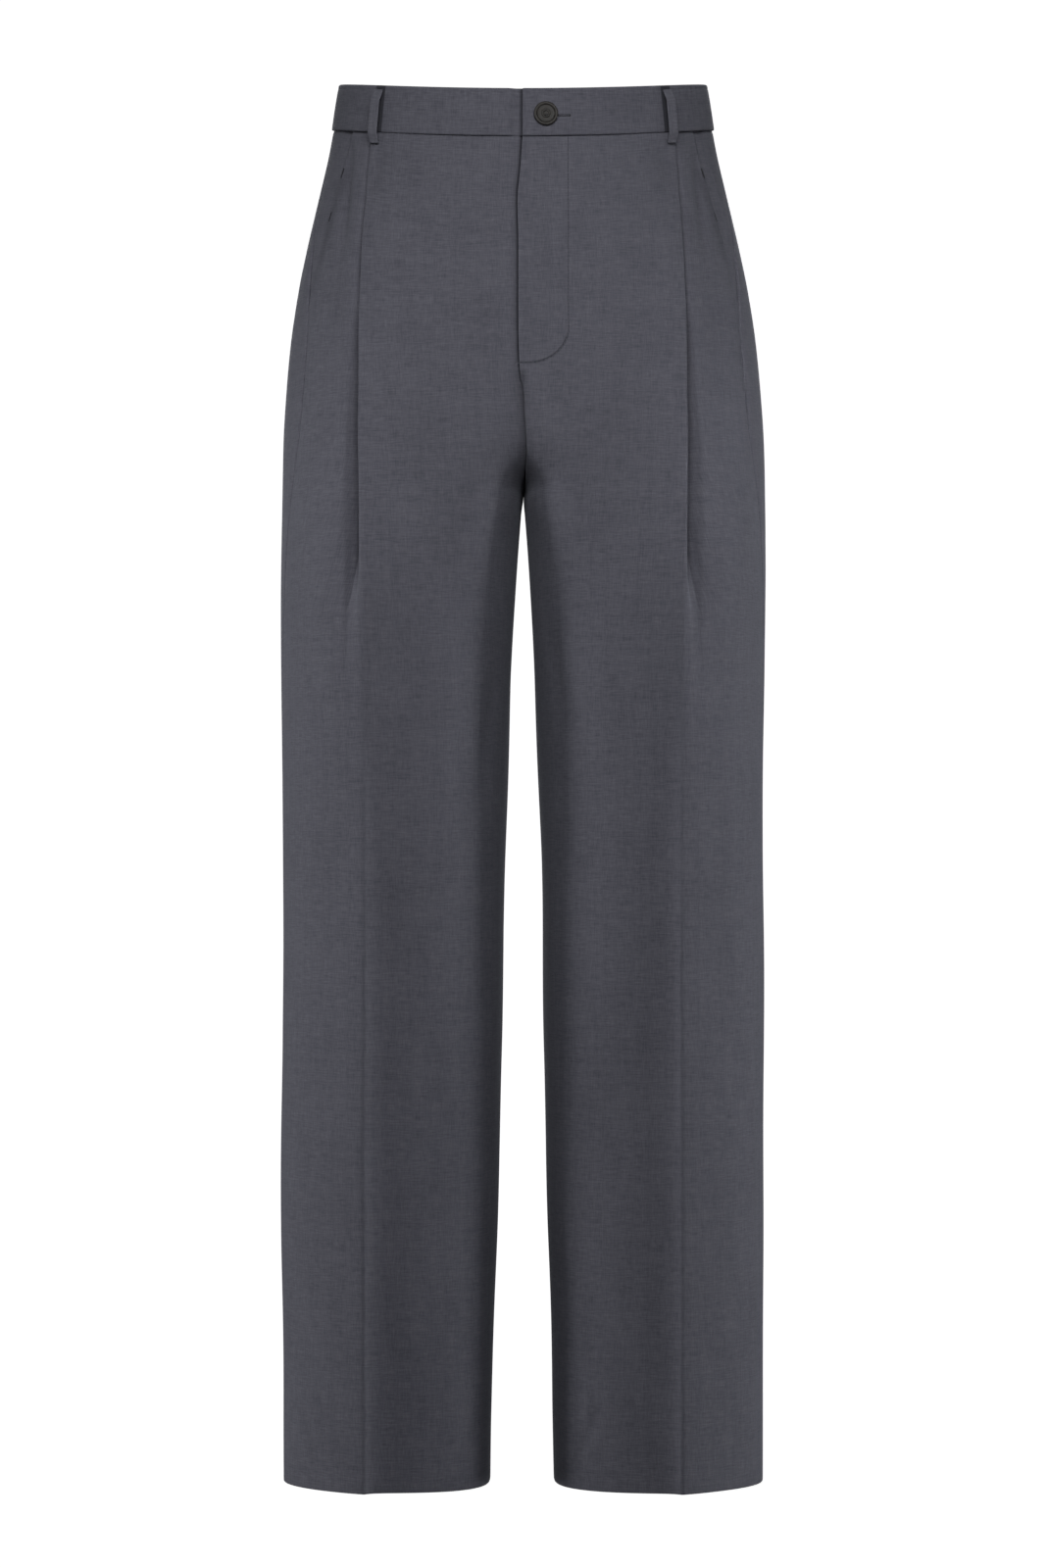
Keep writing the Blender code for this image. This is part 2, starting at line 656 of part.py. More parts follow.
def main():
    clear_scene()
    cloth = make_material("suiting", CLOTH_COLOUR, 0.85)
    horn = make_material("dark_horn", BUTTON_COLOUR, 0.45)
    for side, wearer in ((1, "left"), (-1, "right")):
        make_front(f"front_{wearer}", side, cloth)
        make_back(f"back_{wearer}", side, cloth)
        make_facing(f"pocket_facing_{wearer}", side, cloth)
        make_band(f"waistband_{wearer}", side, cloth)
        make_loop(f"belt_loop_front_{wearer}", True, side, cloth)
        make_loop(f"belt_loop_back_{wearer}", False, side, cloth)
    make_centre_back_loop("belt_loop_centre_back", cloth)
    make_button("button", horn)


main()
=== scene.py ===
# %% [markdown]
# # Pleated dress trousers
#
# This lesson dresses a plain solid model of a pair of wide pleated trousers. The solids give the size and
# the place of every piece of cloth. Here each of them is replaced by a thin sheet on the same outline, with
# the seams, the folds and the woven surface that real wool cloth has.
#
# The trousers hang with their front towards -Y and the wearer's left side at +X. The origin is the middle of
# the waist. All sizes are in metres.

import math
from collections import namedtuple

import bmesh
import bpy
import numpy as np
from mathutils import Matrix, Vector, noise


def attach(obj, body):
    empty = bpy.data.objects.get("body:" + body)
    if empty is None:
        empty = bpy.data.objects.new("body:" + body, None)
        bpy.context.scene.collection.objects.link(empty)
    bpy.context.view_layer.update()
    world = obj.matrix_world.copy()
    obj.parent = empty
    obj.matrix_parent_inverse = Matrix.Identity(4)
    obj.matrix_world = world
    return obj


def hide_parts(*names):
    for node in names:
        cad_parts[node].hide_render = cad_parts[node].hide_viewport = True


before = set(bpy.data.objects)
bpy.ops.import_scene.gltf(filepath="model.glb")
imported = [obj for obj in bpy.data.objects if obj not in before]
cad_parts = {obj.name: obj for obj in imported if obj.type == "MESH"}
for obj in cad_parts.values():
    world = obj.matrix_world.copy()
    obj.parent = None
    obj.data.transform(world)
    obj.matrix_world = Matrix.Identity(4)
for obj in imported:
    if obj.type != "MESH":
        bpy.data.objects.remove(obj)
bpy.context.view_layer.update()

# %% [markdown]
# ## The camera
#
# The trousers are seen straight from the front, from a few metres away, with the camera level with their
# middle. A long lens keeps upright lines upright, so the view is close to a tailor's flat drawing.

# %% Camera
CAMERA_DISTANCE = 3.2
CAMERA_Z = -0.543
LENS = 91.44
SENSOR = 36.0

camera_data = bpy.data.cameras.new("camera")
camera_data.lens = LENS
camera_data.sensor_width = SENSOR
camera = bpy.data.objects.new("camera", camera_data)
camera.location = (0.0, -CAMERA_DISTANCE, CAMERA_Z)
camera.rotation_euler = (math.radians(90), 0.0, 0.0)
bpy.context.scene.collection.objects.link(camera)
bpy.context.scene.camera = camera
print("camera:", LENS, "mm lens,", CAMERA_DISTANCE, "m away")

# %% [markdown]
# ## The studio
#
# Dark cloth shows its folds only by small differences of light. A round white backdrop stands far off, and
# only the camera sees it, so that it stays white without washing the folds out. The light itself comes from
# a faint sky and three soft boxes. The one in front hangs high, so that the light falls off towards the
# hems. The two at the sides stand lower and shine in a narrower beam. Each lights the outer half of its own
# leg, while the other leg keeps it off the inner half. A fourth one lights the back.

# %% Backdrop and lights
BACKDROP_RADIUS = 9.0
BACKDROP_FLOOR_Z = -2.4
BACKDROP_TOP_Z = 9.0
BACKDROP_SIDES = 48
WORLD_LIGHT = 0.04


def make_backdrop():
    """A round floor and wall, white from every side."""
    mesh = bpy.data.meshes.new("backdrop")
    work = bmesh.new()
    bmesh.ops.create_cone(
        work,
        cap_ends=True,
        segments=BACKDROP_SIDES,
        radius1=BACKDROP_RADIUS,
        radius2=BACKDROP_RADIUS,
        depth=BACKDROP_TOP_Z - BACKDROP_FLOOR_Z,
        matrix=Matrix.Translation((0, 0, (BACKDROP_TOP_Z + BACKDROP_FLOOR_Z) / 2)),
    )
    bmesh.ops.reverse_faces(work, faces=work.faces)
    work.to_mesh(mesh)
    work.free()
    backdrop = bpy.data.objects.new("backdrop", mesh)
    bpy.context.scene.collection.objects.link(backdrop)
    for kind in ("diffuse", "glossy", "transmission", "shadow"):
        setattr(backdrop, f"visible_{kind}", False)
    paper = bpy.data.materials.new("white_paper")
    paper.use_nodes = True
    shader = paper.node_tree.nodes["Principled BSDF"]
    shader.inputs["Base Color"].default_value = (0.9, 0.9, 0.9, 1.0)
    shader.inputs["Roughness"].default_value = 0.9
    shader.inputs["Emission Color"].default_value = (1.0, 1.0, 1.0, 1.0)
    shader.inputs["Emission Strength"].default_value = 1.0
    mesh.materials.append(paper)
    return backdrop


def make_soft_box(name, place, target, size, power, spread):
    data = bpy.data.lights.new(name, "AREA")
    data.shape = "RECTANGLE"
    data.size, data.size_y = size
    data.energy = power
    data.spread = math.radians(spread)
    light = bpy.data.objects.new(name, data)
    light.location = place
    light.rotation_euler = (Vector(target) - Vector(place)).to_track_quat("-Z", "Y").to_euler()
    light.visible_camera = False
    bpy.context.scene.collection.objects.link(light)


make_backdrop()
make_soft_box("soft_box_left", (2.2, -0.3, -0.82), (0.1, 0.0, -0.82), (0.5, 1.34), 1.3, 16)
make_soft_box("soft_box_right", (-2.2, -0.3, -0.82), (-0.1, 0.0, -0.82), (0.5, 1.34), 1.3, 16)
make_soft_box("soft_box_front", (0.0, -1.7, 0.5), (0.0, 0.0, -0.15), (1.4, 0.8), 10.8, 110)
make_soft_box("soft_box_back", (0.0, 1.8, 0.3), (0.0, 0.0, -0.4), (1.8, 0.8), 24, 180)

world = bpy.data.worlds.new("studio")
bpy.context.scene.world = world
world.use_nodes = True
world.node_tree.nodes["Background"].inputs["Color"].default_value = (1.0, 1.0, 1.0, 1.0)
world.node_tree.nodes["Background"].inputs["Strength"].default_value = WORLD_LIGHT
bpy.context.scene.view_settings.view_transform = "Standard"
print("studio: a backdrop and 4 soft boxes")

# %% [markdown]
# ## Writing shaders as sums
#
# A finish is easier to read as a formula than as a web of nodes. `Value` wraps a socket, so that adding or
# multiplying two values adds the Math node that does it. `Finish` is a material in the making, and its
# method `add` makes any other node: its type, its settings, then what goes into its sockets.

# %% Shader helpers


class Value:
    """A socket in a shader. Arithmetic on values adds the Math nodes that work it out."""

    def __init__(self, finish, socket):
        self.finish = finish
        self.socket = socket

    def maths(self, operation, *numbers):
        return self.finish.add("ShaderNodeMath", {"operation": operation}, dict(enumerate(numbers)))

    def __add__(self, other):
        return self.maths("ADD", self, other)

    def __sub__(self, other):
        return self.maths("SUBTRACT", self, other)

    def __rsub__(self, other):
        return self.maths("SUBTRACT", other, self)

    def __mul__(self, other):
        return self.maths("MULTIPLY", self, other)

    def __abs__(self):
        return self.maths("ABSOLUTE", self)

    __radd__ = __add__
    __rmul__ = __mul__

    def rise(self, low, high):
        """0 below low, 1 above high, and smooth between them; the other way round if low is the higher."""
        return self.finish.add(
            "ShaderNodeMapRange",
            {"interpolation_type": "SMOOTHSTEP"},
            {"Value": self, "From Min": low, "From Max": high},
        )


class Finish:
    """A material in the making, with its Principled shader."""

    def __init__(self, name, **constants):
        self.material = bpy.data.materials.new(name)
        self.material.use_nodes = True
        self.tree = self.material.node_tree
        self.shader = self.tree.nodes["Principled BSDF"]
        for socket, value in constants.items():
            self.set(socket.replace("_", " "), value)

    def add(self, kind, settings=(), sockets=(), output=0):
        node = self.tree.nodes.new(kind)
        for name, value in dict(settings).items():
            setattr(node, name, value)
        for name, value in dict(sockets).items():
            self.fill(node.inputs[name], value)
        return Value(self, node.outputs[output])

    def fill(self, socket, value):
        if isinstance(value, Value):
            self.tree.links.new(value.socket, socket)
        else:
            socket.default_value = value

    def set(self, name, value):
        self.fill(self.shader.inputs[name], value)

    def mix(self, factor, first, second):
        """The first colour at factor 0 and the second at 1."""
        return self.add(
            "ShaderNodeMix",
            {"data_type": "RGBA", "clamp_factor": True},
            {"Factor": factor, 6: first, 7: second},
            output=2,
        )


# %% [markdown]
# ## The suiting
#
# The cloth is a plain-woven wool in slate blue-grey. Its yarn is spun from dyed and undyed fibres, so each
# thread changes a little in tone along its length. Up close this gives fine streaks, both upright (the warp)
# and level (the weft); from further off it looks like a soft melange. Noise that is stretched along one
# direction and squeezed across it makes such streaks. They follow a UV map in real metres, laid so that the
# warp runs straight down each crease, as it does on a well-cut leg.
#
# The same streaks raise the surface very slightly. A little sheen stands for the fine fibres that catch the
# light where the cloth turns away. Three attributes on each sheet add the tailoring. `gap` is the distance to
# the nearest seam, beside which the pressed seam allowance shows faintly through. `stitch` is the signed
# distance to a line of sewing, which pulls the cloth into a small ditch; that ditch is bumped in, and its
# colour is also darkened as painted shade. The third attribute is painted shade. It darkens the colour of the
# cloth in tight crevices, where fibres on both sides keep the light out: under the fly's edge, beside the
# pleats, along the centre seam, inside the pocket edges, in the fold troughs and behind the belt loops.

# %% Suiting finish
FIBRE_DARK = (0.058, 0.058, 0.074, 1.0)
FIBRE_LIGHT = (0.124, 0.124, 0.148, 1.0)
# The near-black colour that painted shade darkens the cloth towards.
PAINTED_SHADE_COLOUR = (0.014, 0.014, 0.019, 1.0)
ALLOWANCE = 0.013
FAR = 1.0


def make_suiting(name, tone):
    """Tone shifts the cloth from its darker fibres, 0, to its lighter ones, 1."""
    cloth = Finish(
        name,
        Specular_IOR_Level=0.18,
        Sheen_Weight=0.12,
        Sheen_Roughness=0.55,
        Sheen_Tint=(0.75, 0.79, 0.9, 1.0),
    )
    place = cloth.add("ShaderNodeUVMap", {"uv_map": "cloth"})

    def streaks(per_metre_across, per_metre_along, detail):
        stretched = cloth.add(
            "ShaderNodeMapping",
            sockets={"Vector": place, "Scale": (per_metre_across, per_metre_along, 1.0)},
        )
        return cloth.add(
            "ShaderNodeTexNoise",
            {"noise_dimensions": "2D"},
            {"Vector": stretched, "Scale": 1.0, "Detail": detail, "Roughness": 0.6},
        )

    warp = streaks(900, 90, 2)
    weft = streaks(80, 900, 2)
    slub = streaks(160, 2000, 1) + streaks(2000, 140, 1)
    bars = streaks(16, 190, 2) + streaks(210, 14, 2)
    cloud = streaks(34, 26, 3)
    mottle = (warp - 0.5) * 0.55 + (weft - 0.5) * 0.75 + (slub - 1.0) * 0.45
    mottle = mottle + (bars - 1.0) * 0.28 + (cloud - 0.5) * 0.26

    stitch = cloth.add("ShaderNodeAttribute", {"attribute_name": "stitch"}, output=2)
    # Near a line of stitches the cloth is bumped in, and its colour is darkened there as painted shade in the
    # ditch.
    ditch_and_painted_shade = abs(stitch).rise(0.0013, 0.0002)
    gap = cloth.add("ShaderNodeAttribute", {"attribute_name": "gap"}, output=2)
    allowance = gap.rise(ALLOWANCE + 0.0012, ALLOWANCE - 0.0012)

    colour = cloth.mix(mottle + tone, FIBRE_DARK, FIBRE_LIGHT)
    # The melange, darkened towards the shade colour by painted shade: in the stitch ditches and wherever the
    # sheet's painted shade attribute is set.
    painted_shade = cloth.add("ShaderNodeAttribute", {"attribute_name": "painted_shade"}, output=2)
    cloth.set("Base Color", cloth.mix(ditch_and_painted_shade * 0.55 + painted_shade, colour, PAINTED_SHADE_COLOUR))
    cloth.set("Roughness", 0.86 + (cloud - 0.5) * 0.12)
    height = (warp + weft) * 0.35 + slub * 0.2 + allowance * 0.35 - ditch_and_painted_shade * 1.6
    bump = cloth.add(
        "ShaderNodeBump",
        sockets={"Strength": 0.55, "Distance": 0.00035, "Height": height},
    )
    cloth.set("Normal", bump)
    return cloth.material


SUITING = make_suiting("suiting", 0.40)
print("suiting:", len(SUITING.node_tree.nodes), "nodes")

# %% [markdown]
# ## The cut
#
# Every piece of cloth lies on one outline round the body. At each height it runs from the centre front (or
# the inseam) over the front crease to the side, and back over the back crease. The tables below give that
# outline at a few heights; a smooth curve through each column gives it at any other. They are the same
# numbers as the solid model's, so each sheet lies where its solid is.

# %% Sizes
SIDES = ((1, "left"), (-1, "right"))
WALL = 0.0012
SEAM = 0.0003
LAYER = WALL + SEAM
TOP_Z = 0.0185
TOP_SLOPE = 0.1438
TOP_BEND = -0.49
BAND_HEIGHT = 0.037
SEAM_Z = TOP_Z - BAND_HEIGHT
LEVEL_Z = -0.24
HEM_Z = -1.102
CROTCH_Z = -0.3146
CROTCH_Y = 0.006
LEG_START_Z = -0.20
LEG_END_Z = -0.40
FORK_REACH = 0.065
BACK_SQUARE = 2.7
OUTER_SQUARE = 2.15
POCKET_END_Z = -0.172
FLY_END_Z = -0.2194

# From start_z down to the crotch the centre seams curve under. There a leg's inner side runs on past the
# centre, at first by this slope and then by this share of the height squared.
Fork = namedtuple("Fork", "start_z slope curve")
FORKS = {"front": Fork(-0.262, 0.22, 20.0), "back": Fork(-0.225, 0.085, 9.0)}


def table(columns, *rows):
    """Rows of numbers with named columns."""
    kind = namedtuple("Row", columns)
    return [kind(*row) for row in rows]


WIDTHS = table(
    "z side_x front_crease_x back_crease_x",
    (0.0185, 0.1457, 0.1150, 0.0800),
    (-0.0185, 0.1516, 0.1180, 0.0860),
    (-0.0335, 0.1543, 0.1190, 0.0890),
    (-0.0728, 0.1630, 0.1217, 0.0950),
    (-0.1122, 0.1717, 0.1244, 0.1010),
    (-0.1516, 0.1795, 0.1259, 0.1050),
    (-0.1909, 0.1854, 0.1270, 0.1085),
    (-0.2303, 0.1890, 0.1268, 0.1105),
    (-0.2697, 0.1913, 0.1270, 0.1120),
    (-0.3091, 0.1921, 0.1265, 0.1130),
    (-0.3484, 0.1926, 0.1262, 0.1130),
    (-0.3878, 0.1929, 0.1257, 0.1125),
    (-0.4270, 0.1929, 0.1248, 0.1120),
    (-0.4665, 0.1929, 0.1234, 0.1115),
    (-0.5453, 0.1928, 0.1232, 0.1110),
    (-0.7028, 0.1927, 0.1236, 0.1110),
    (-0.8602, 0.1928, 0.1245, 0.1115),
    (-1.0177, 0.1926, 0.1248, 0.1120),
    (-1.1020, 0.1921, 0.1248, 0.1120),
)

HIPS = table(
    "z front_y back_y square",
    (0.0185, -0.1085, 0.1085, 2.00),
    (-0.0185, -0.1130, 0.1135, 2.00),
    (-0.0728, -0.1195, 0.1250, 2.05),
    (-0.1300, -0.1250, 0.1385, 2.15),
    (-0.1909, -0.1275, 0.1465, 2.25),
    (-0.2303, -0.1275, 0.1475, 2.30),
    (-0.2900, -0.1250, 0.1420, 2.30),
    (-0.4000, -0.1150, 0.1220, 2.30),
)

LEGS = table(
    "z inner_x front_y back_y front_pressed back_pressed front_square front_flat",
    (-0.2000, 0.00075, -0.1285, 0.1460, 1.00, 1.00, 5.0, 4.50),
    (-0.3146, 0.00075, -0.1240, 0.1330, 1.00, 1.00, 5.0, 4.50),
    (-0.3300, 0.00200, -0.1225, 0.1300, 1.00, 1.02, 4.8, 4.35),
    (-0.3484, 0.00340, -0.1210, 0.1270, 1.02, 1.05, 4.2, 4.00),
    (-0.3878, 0.00590, -0.1170, 0.1210, 1.06, 1.12, 3.6, 3.50),
    (-0.4665, 0.01060, -0.1085, 0.1115, 1.22, 1.25, 3.2, 3.00),
    (-0.5453, 0.01340, -0.1000, 0.1030, 1.34, 1.34, 3.0, 2.80),
    (-0.7028, 0.01690, -0.0860, 0.0890, 1.42, 1.42, 3.0, 2.80),
    (-0.8602, 0.01970, -0.0750, 0.0780, 1.45, 1.45, 3.0, 2.80),
    (-1.0177, 0.02400, -0.0665, 0.0700, 1.45, 1.45, 3.0, 2.80),
    (-1.1020, 0.02640, -0.0630, 0.0670, 1.45, 1.45, 3.0, 2.80),
)

SIDE_LINES = table(
    "z pocket_y seam_y",
    (-0.0185, -0.0513, -0.0100),
    (-0.0460, -0.0513, -0.0140),
    (-0.0800, -0.0520, -0.0230),
    (-0.1180, -0.0515, -0.0350),
    (-0.1500, -0.0510, -0.0450),
    (-0.1720, -0.0538, -0.0538),
    (-0.2000, -0.0580, -0.0580),
    (-0.2300, -0.0605, -0.0605),
    (-0.2660, -0.0630, -0.0630),
    (-0.3000, -0.0597, -0.0597),
    (-0.3320, -0.0540, -0.0540),
    (-0.3640, -0.0470, -0.0470),
    (-0.4100, -0.0370, -0.0370),
    (-0.4700, -0.0240, -0.0240),
    (-0.5500, -0.0110, -0.0110),
    (-0.6600, -0.0020, -0.0020),
    (-1.1020, 0.0020, 0.0020),
)
print("tables:", len(WIDTHS), "widths,", len(HIPS), "hips,", len(LEGS), "leg sections")

# %% Reading a table


def column(table, name, z):
    """A column of a table at height z, on a smooth curve that never overshoots its rows."""
    rows = sorted(table, key=lambda row: row.z)
    heights = np.array([row.z for row in rows])
    values = np.array([getattr(row, name) for row in rows])
    steps = np.diff(heights)
    slopes = np.diff(values) / steps
    tangents = np.zeros(len(rows))
    for i in range(1, len(rows) - 1):
        before, after = slopes[i - 1], slopes[i]
        if before * after > 0:
            first = 2 * steps[i] + steps[i - 1]
            second = steps[i] + 2 * steps[i - 1]
            tangents[i] = (first + second) / (first / before + second / after)
    tangents[0], tangents[-1] = slopes[0], slopes[-1]
    z = min(max(z, heights[0]), heights[-1])
    i = min(int(np.searchsorted(heights, z, side="right")) - 1, len(steps) - 1)
    t = (z - heights[i]) / steps[i]
    start = (1 + 2 * t) * (1 - t) ** 2 * values[i] + t * (1 - t) ** 2 * steps[i] * tangents[i]
    end = t * t * (3 - 2 * t) * values[i + 1] + t * t * (t - 1) * steps[i] * tangents[i + 1]
    return float(start + end)


def ease(t):
    """0 up to t = 0, 1 from t = 1, and smooth between them."""
    t = np.clip(t, 0.0, 1.0)
    return t * t * (3 - 2 * t)


print("half way between two widths:", round(column(WIDTHS, "side_x", -0.09), 4))

# %% [markdown]
# ## The outline at one height
#
# Near the waist each half of the body's outline is close to an ellipse; down the legs it becomes a rounded
# lens with a pressed crease at the front and the back. Between the two, the inner ends curve under the body
# to the fork. `Outline` works the whole line out once for each height and then answers in its own terms: a
# place is given by s, the distance along the line from the centre front, and by n, the distance outwards.

# %% Outline
ARC_POINTS = 241


def hip_depth(x, side_x, centre_y, square):
    return centre_y * (1 - np.clip(x / side_x, 0.0, 1.0) ** square) ** (1 / square)


def leg_depth(x, crease, edge, flat, square):
    share = np.clip((x - crease[0]) / (edge[0] - crease[0]), 0.0, 1.0)
    return edge[1] + (crease[1] - edge[1]) * (1 - share**flat) ** (1 / square)


def inner_side(z, fork):
    """Where a leg's inner side lies. Above the fork it runs on past the centre, into the other leg."""
    above = z - CROTCH_Z
    if above < 0:
        return column(LEGS, "inner_x", z)
    return LAYER / 2 - fork.slope * above - fork.curve * above * above


def half_outline(z, end):
    """The front or the back end of the outline, from the centre to the side."""
    fork = FORKS[end]
    side_x, inner_x = column(WIDTHS, "side_x", z), inner_side(z, fork)
    crease = (column(WIDTHS, end + "_crease_x", z), column(LEGS, end + "_y", z))
    centre_y, square = column(HIPS, end + "_y", z), column(HIPS, "square", z)
    flat = inner_flat = 2 / column(LEGS, end + "_pressed", z)
    inner_square = BACK_SQUARE
    if end == "front":
        inner_flat, inner_square = column(LEGS, "front_flat", z), column(LEGS, "front_square", z)
    under = ease((fork.start_z - z) / (fork.start_z - CROTCH_Z))
    leg_share = ease((LEG_START_Z - z) / (LEG_START_Z - LEG_END_Z))
    turn = np.linspace(0.0, math.pi / 2, ARC_POINTS)

    def inner_depth(x, start):
        share = under + (leg_share - under) * ease((x - start) / FORK_REACH)
        leg = leg_depth(x, crease, (inner_x, CROTCH_Y), inner_flat, inner_square)
        return hip_depth(x, side_x, centre_y, square) * (1 - share) + leg * share

    start_x = inner_x
    if z >= CROTCH_Z:
        slope = (inner_depth(WALL, 0.0) - inner_depth(0.0, 0.0)) / WALL
        start_x = LAYER / 2 * abs(slope) / math.hypot(1.0, slope)
    x = start_x + (crease[0] - start_x) * (1 - np.cos(turn))
    inner = np.stack([x, inner_depth(x, start_x)], axis=1)

    x = crease[0] + (side_x - crease[0]) * np.sin(turn)
    hip = hip_depth(x, side_x, centre_y, square)
    leg = leg_depth(x, crease, (side_x, 0.0), flat, OUTER_SQUARE)
    outer = np.stack([x, hip * (1 - leg_share) + leg * leg_share], axis=1)
    return np.concatenate([inner, outer[1:]])


class Outline:
    """The outline round one half of the trousers at height z."""

    def __init__(self, z):
        self.z = z
        front, back = half_outline(z, "front"), half_outline(z, "back")
        self.points = np.concatenate([front, back[::-1][1:]])
        steps = np.linalg.norm(np.diff(self.points, axis=0), axis=1)
        self.s = np.concatenate([[0.0], np.cumsum(steps)])
        self.length = float(self.s[-1])
        self.side_index = len(front) - 1
        self.front_crease = float(self.s[ARC_POINTS - 1])
        self.back_crease = float(self.s[len(self.points) - ARC_POINTS])
        tangents = np.gradient(self.points, self.s, axis=0)
        tangents /= np.linalg.norm(tangents, axis=1)[:, None]
        self.normals = np.stack([tangents[:, 1], -tangents[:, 0]], axis=1)

    def inner_shares(self, count, back=False):
        """Shares of the length from the centre to a crease, closest together where the cloth turns under."""
        lengths = self.length - self.s[::-1] if back else self.s
        picked = lengths[np.linspace(0, ARC_POINTS - 1, count + 1).round().astype(int)]
        return picked / picked[-1]

    def at(self, s, n):
        """x, y and the outline's own y at the places s along it and n outside it."""
        s, n = np.asarray(s, float), np.asarray(n, float)
        x, y = (np.interp(np.abs(s), self.s, self.points[:, k]) for k in range(2))
        out_x, out_y = (np.interp(np.abs(s), self.s, self.normals[:, k]) for k in range(2))
        return np.where(s < 0, -1.0, 1.0) * (x + n * out_x), y + n * out_y, y

    def s_at_y(self, y):
        """Where the outer part of the front passes y."""
        part = slice(ARC_POINTS - 1, self.side_index + 1)
        return float(np.interp(y, self.points[part, 1], self.s[part]))

    def s_at_x(self, x, back=False):
        """Where the front or the back passes x."""
        if back:
            return float(np.interp(-x, -self.points[self.side_index :, 0], self.s[self.side_index :]))
        return float(np.interp(x, self.points[: self.side_index, 0], self.s[: self.side_index]))

    def pocket(self):
        return self.s_at_y(column(SIDE_LINES, "pocket_y", self.z))

    def side_seam(self):
        return self.s_at_y(column(SIDE_LINES, "seam_y", self.z))


OUTLINES = {}


def outline(z):
    z = round(z, 6)
    if z not in OUTLINES:
        OUTLINES[z] = Outline(z)
    return OUTLINES[z]


def waist_tilt(y):
    """How far the waist lies above its height at the sides: low in front, high at the back."""
    return TOP_SLOPE * y + TOP_BEND * y * y


print("round one half:", [round(outline(z).length, 3) for z in (SEAM_Z, LEVEL_Z, HEM_Z)])

# %% [markdown]
# ## Folds and ripples
#
# Cloth is never as even as its pattern. The main folds are listed one by one: each is a soft trough or ridge
# that starts at one point, ends at another and fades out at both. The front ones lie beside the pleats,
# by the fly, on the inner thighs and above the hems; the back ones lie under the seat and behind the knees.
# A slow noise adds the gentle waves between them. All pieces read the same table, so that two pieces agree
# along the seam they share.

# %% Folds
FOLDS = table(
    "side back top_z top_x low_z low_x width height",
    # beside the pleats, where the cloth swings round to the pocket
    (-1, False, -0.022, -0.1350, -0.135, -0.1440, 0.0052, -0.0042),
    (1, False, -0.024, 0.1350, -0.130, 0.1450, 0.0056, -0.0040),
    (-1, False, -0.024, -0.1070, -0.085, -0.1210, 0.0050, -0.0030),
    (1, False, -0.024, 0.1060, -0.080, 0.1200, 0.0050, -0.0026),
    (-1, False, -0.090, -0.1440, -0.240, -0.1520, 0.0110, -0.0014),
    (1, False, -0.095, 0.1450, -0.260, 0.1540, 0.0120, -0.0016),
    # by the fly
    (1, False, -0.070, 0.0135, -0.160, 0.0175, 0.0060, -0.0007),
    (1, False, -0.130, 0.0470, -0.330, 0.0350, 0.0160, 0.0013),
    (-1, False, -0.150, -0.0440, -0.350, -0.0330, 0.0170, 0.0014),
    (-1, False, -0.200, -0.0800, -0.400, -0.0640, 0.0160, -0.0012),
    (1, False, -0.180, 0.0820, -0.380, 0.0660, 0.0160, -0.0011),
    # inner thighs
    (-1, False, -0.420, -0.0180, -0.590, -0.0420, 0.0100, -0.0016),
    (1, False, -0.400, 0.0200, -0.520, 0.0360, 0.0090, -0.0015),
    (-1, False, -0.360, -0.0420, -0.620, -0.0700, 0.0150, 0.0012),
    (1, False, -0.370, 0.0450, -0.600, 0.0740, 0.0150, 0.0012),
    # outer legs
    (-1, False, -0.420, -0.1560, -0.700, -0.1500, 0.0140, -0.0010),
    (1, False, -0.450, 0.1580, -0.760, 0.1500, 0.0140, -0.0011),
    (-1, False, -0.740, -0.0650, -0.930, -0.0800, 0.0140, -0.0009),
    (1, False, -0.700, 0.0700, -0.900, 0.0600, 0.0150, -0.0009),
    # above the hems
    (-1, False, -1.035, -0.0300, -1.092, -0.0640, 0.0045, -0.0016),
    (-1, False, -1.010, -0.0520, -1.085, -0.0480, 0.0060, 0.0014),
    (1, False, -1.030, 0.0600, -1.094, 0.0380, 0.0045, -0.0016),
    (1, False, -1.000, 0.0480, -1.080, 0.0530, 0.0060, 0.0013),
    (-1, False, -1.020, -0.1780, -1.095, -0.1600, 0.0050, -0.0014),
    (1, False, -1.030, 0.1700, -1.092, 0.1640, 0.0050, -0.0011),
    # under the seat, down from the centre back
    (-1, True, -0.300, -0.0250, -0.420, -0.0900, 0.0130, -0.0030),
    (1, True, -0.305, 0.0230, -0.430, 0.0860, 0.0130, -0.0028),
    (-1, True, -0.335, -0.0180, -0.470, -0.0620, 0.0120, -0.0022),
    (1, True, -0.340, 0.0160, -0.460, 0.0600, 0.0120, -0.0023),
    (-1, True, -0.290, -0.1500, -0.420, -0.1260, 0.0150, 0.0020),
    (1, True, -0.295, 0.1520, -0.430, 0.1280, 0.0150, 0.0019),
    # behind the knees
    (-1, True, -0.530, -0.0460, -0.620, -0.1200, 0.0110, -0.0016),
    (1, True, -0.540, 0.0480, -0.630, 0.1160, 0.0110, -0.0015),
    (-1, True, -0.560, -0.1600, -0.660, -0.0900, 0.0120, -0.0013),
    (1, True, -0.550, 0.1620, -0.650, 0.0940, 0.0120, -0.0014),
    (-1, True, -0.750, -0.0700, -1.000, -0.0800, 0.0150, -0.0011),
    (1, True, -0.780, 0.0680, -1.020, 0.0780, 0.0150, -0.0011),
)
RIPPLE = 0.0021
RIPPLE_SIZE = Vector((0.075, 0.075, 0.150))
QUIET_TOP = 0.040


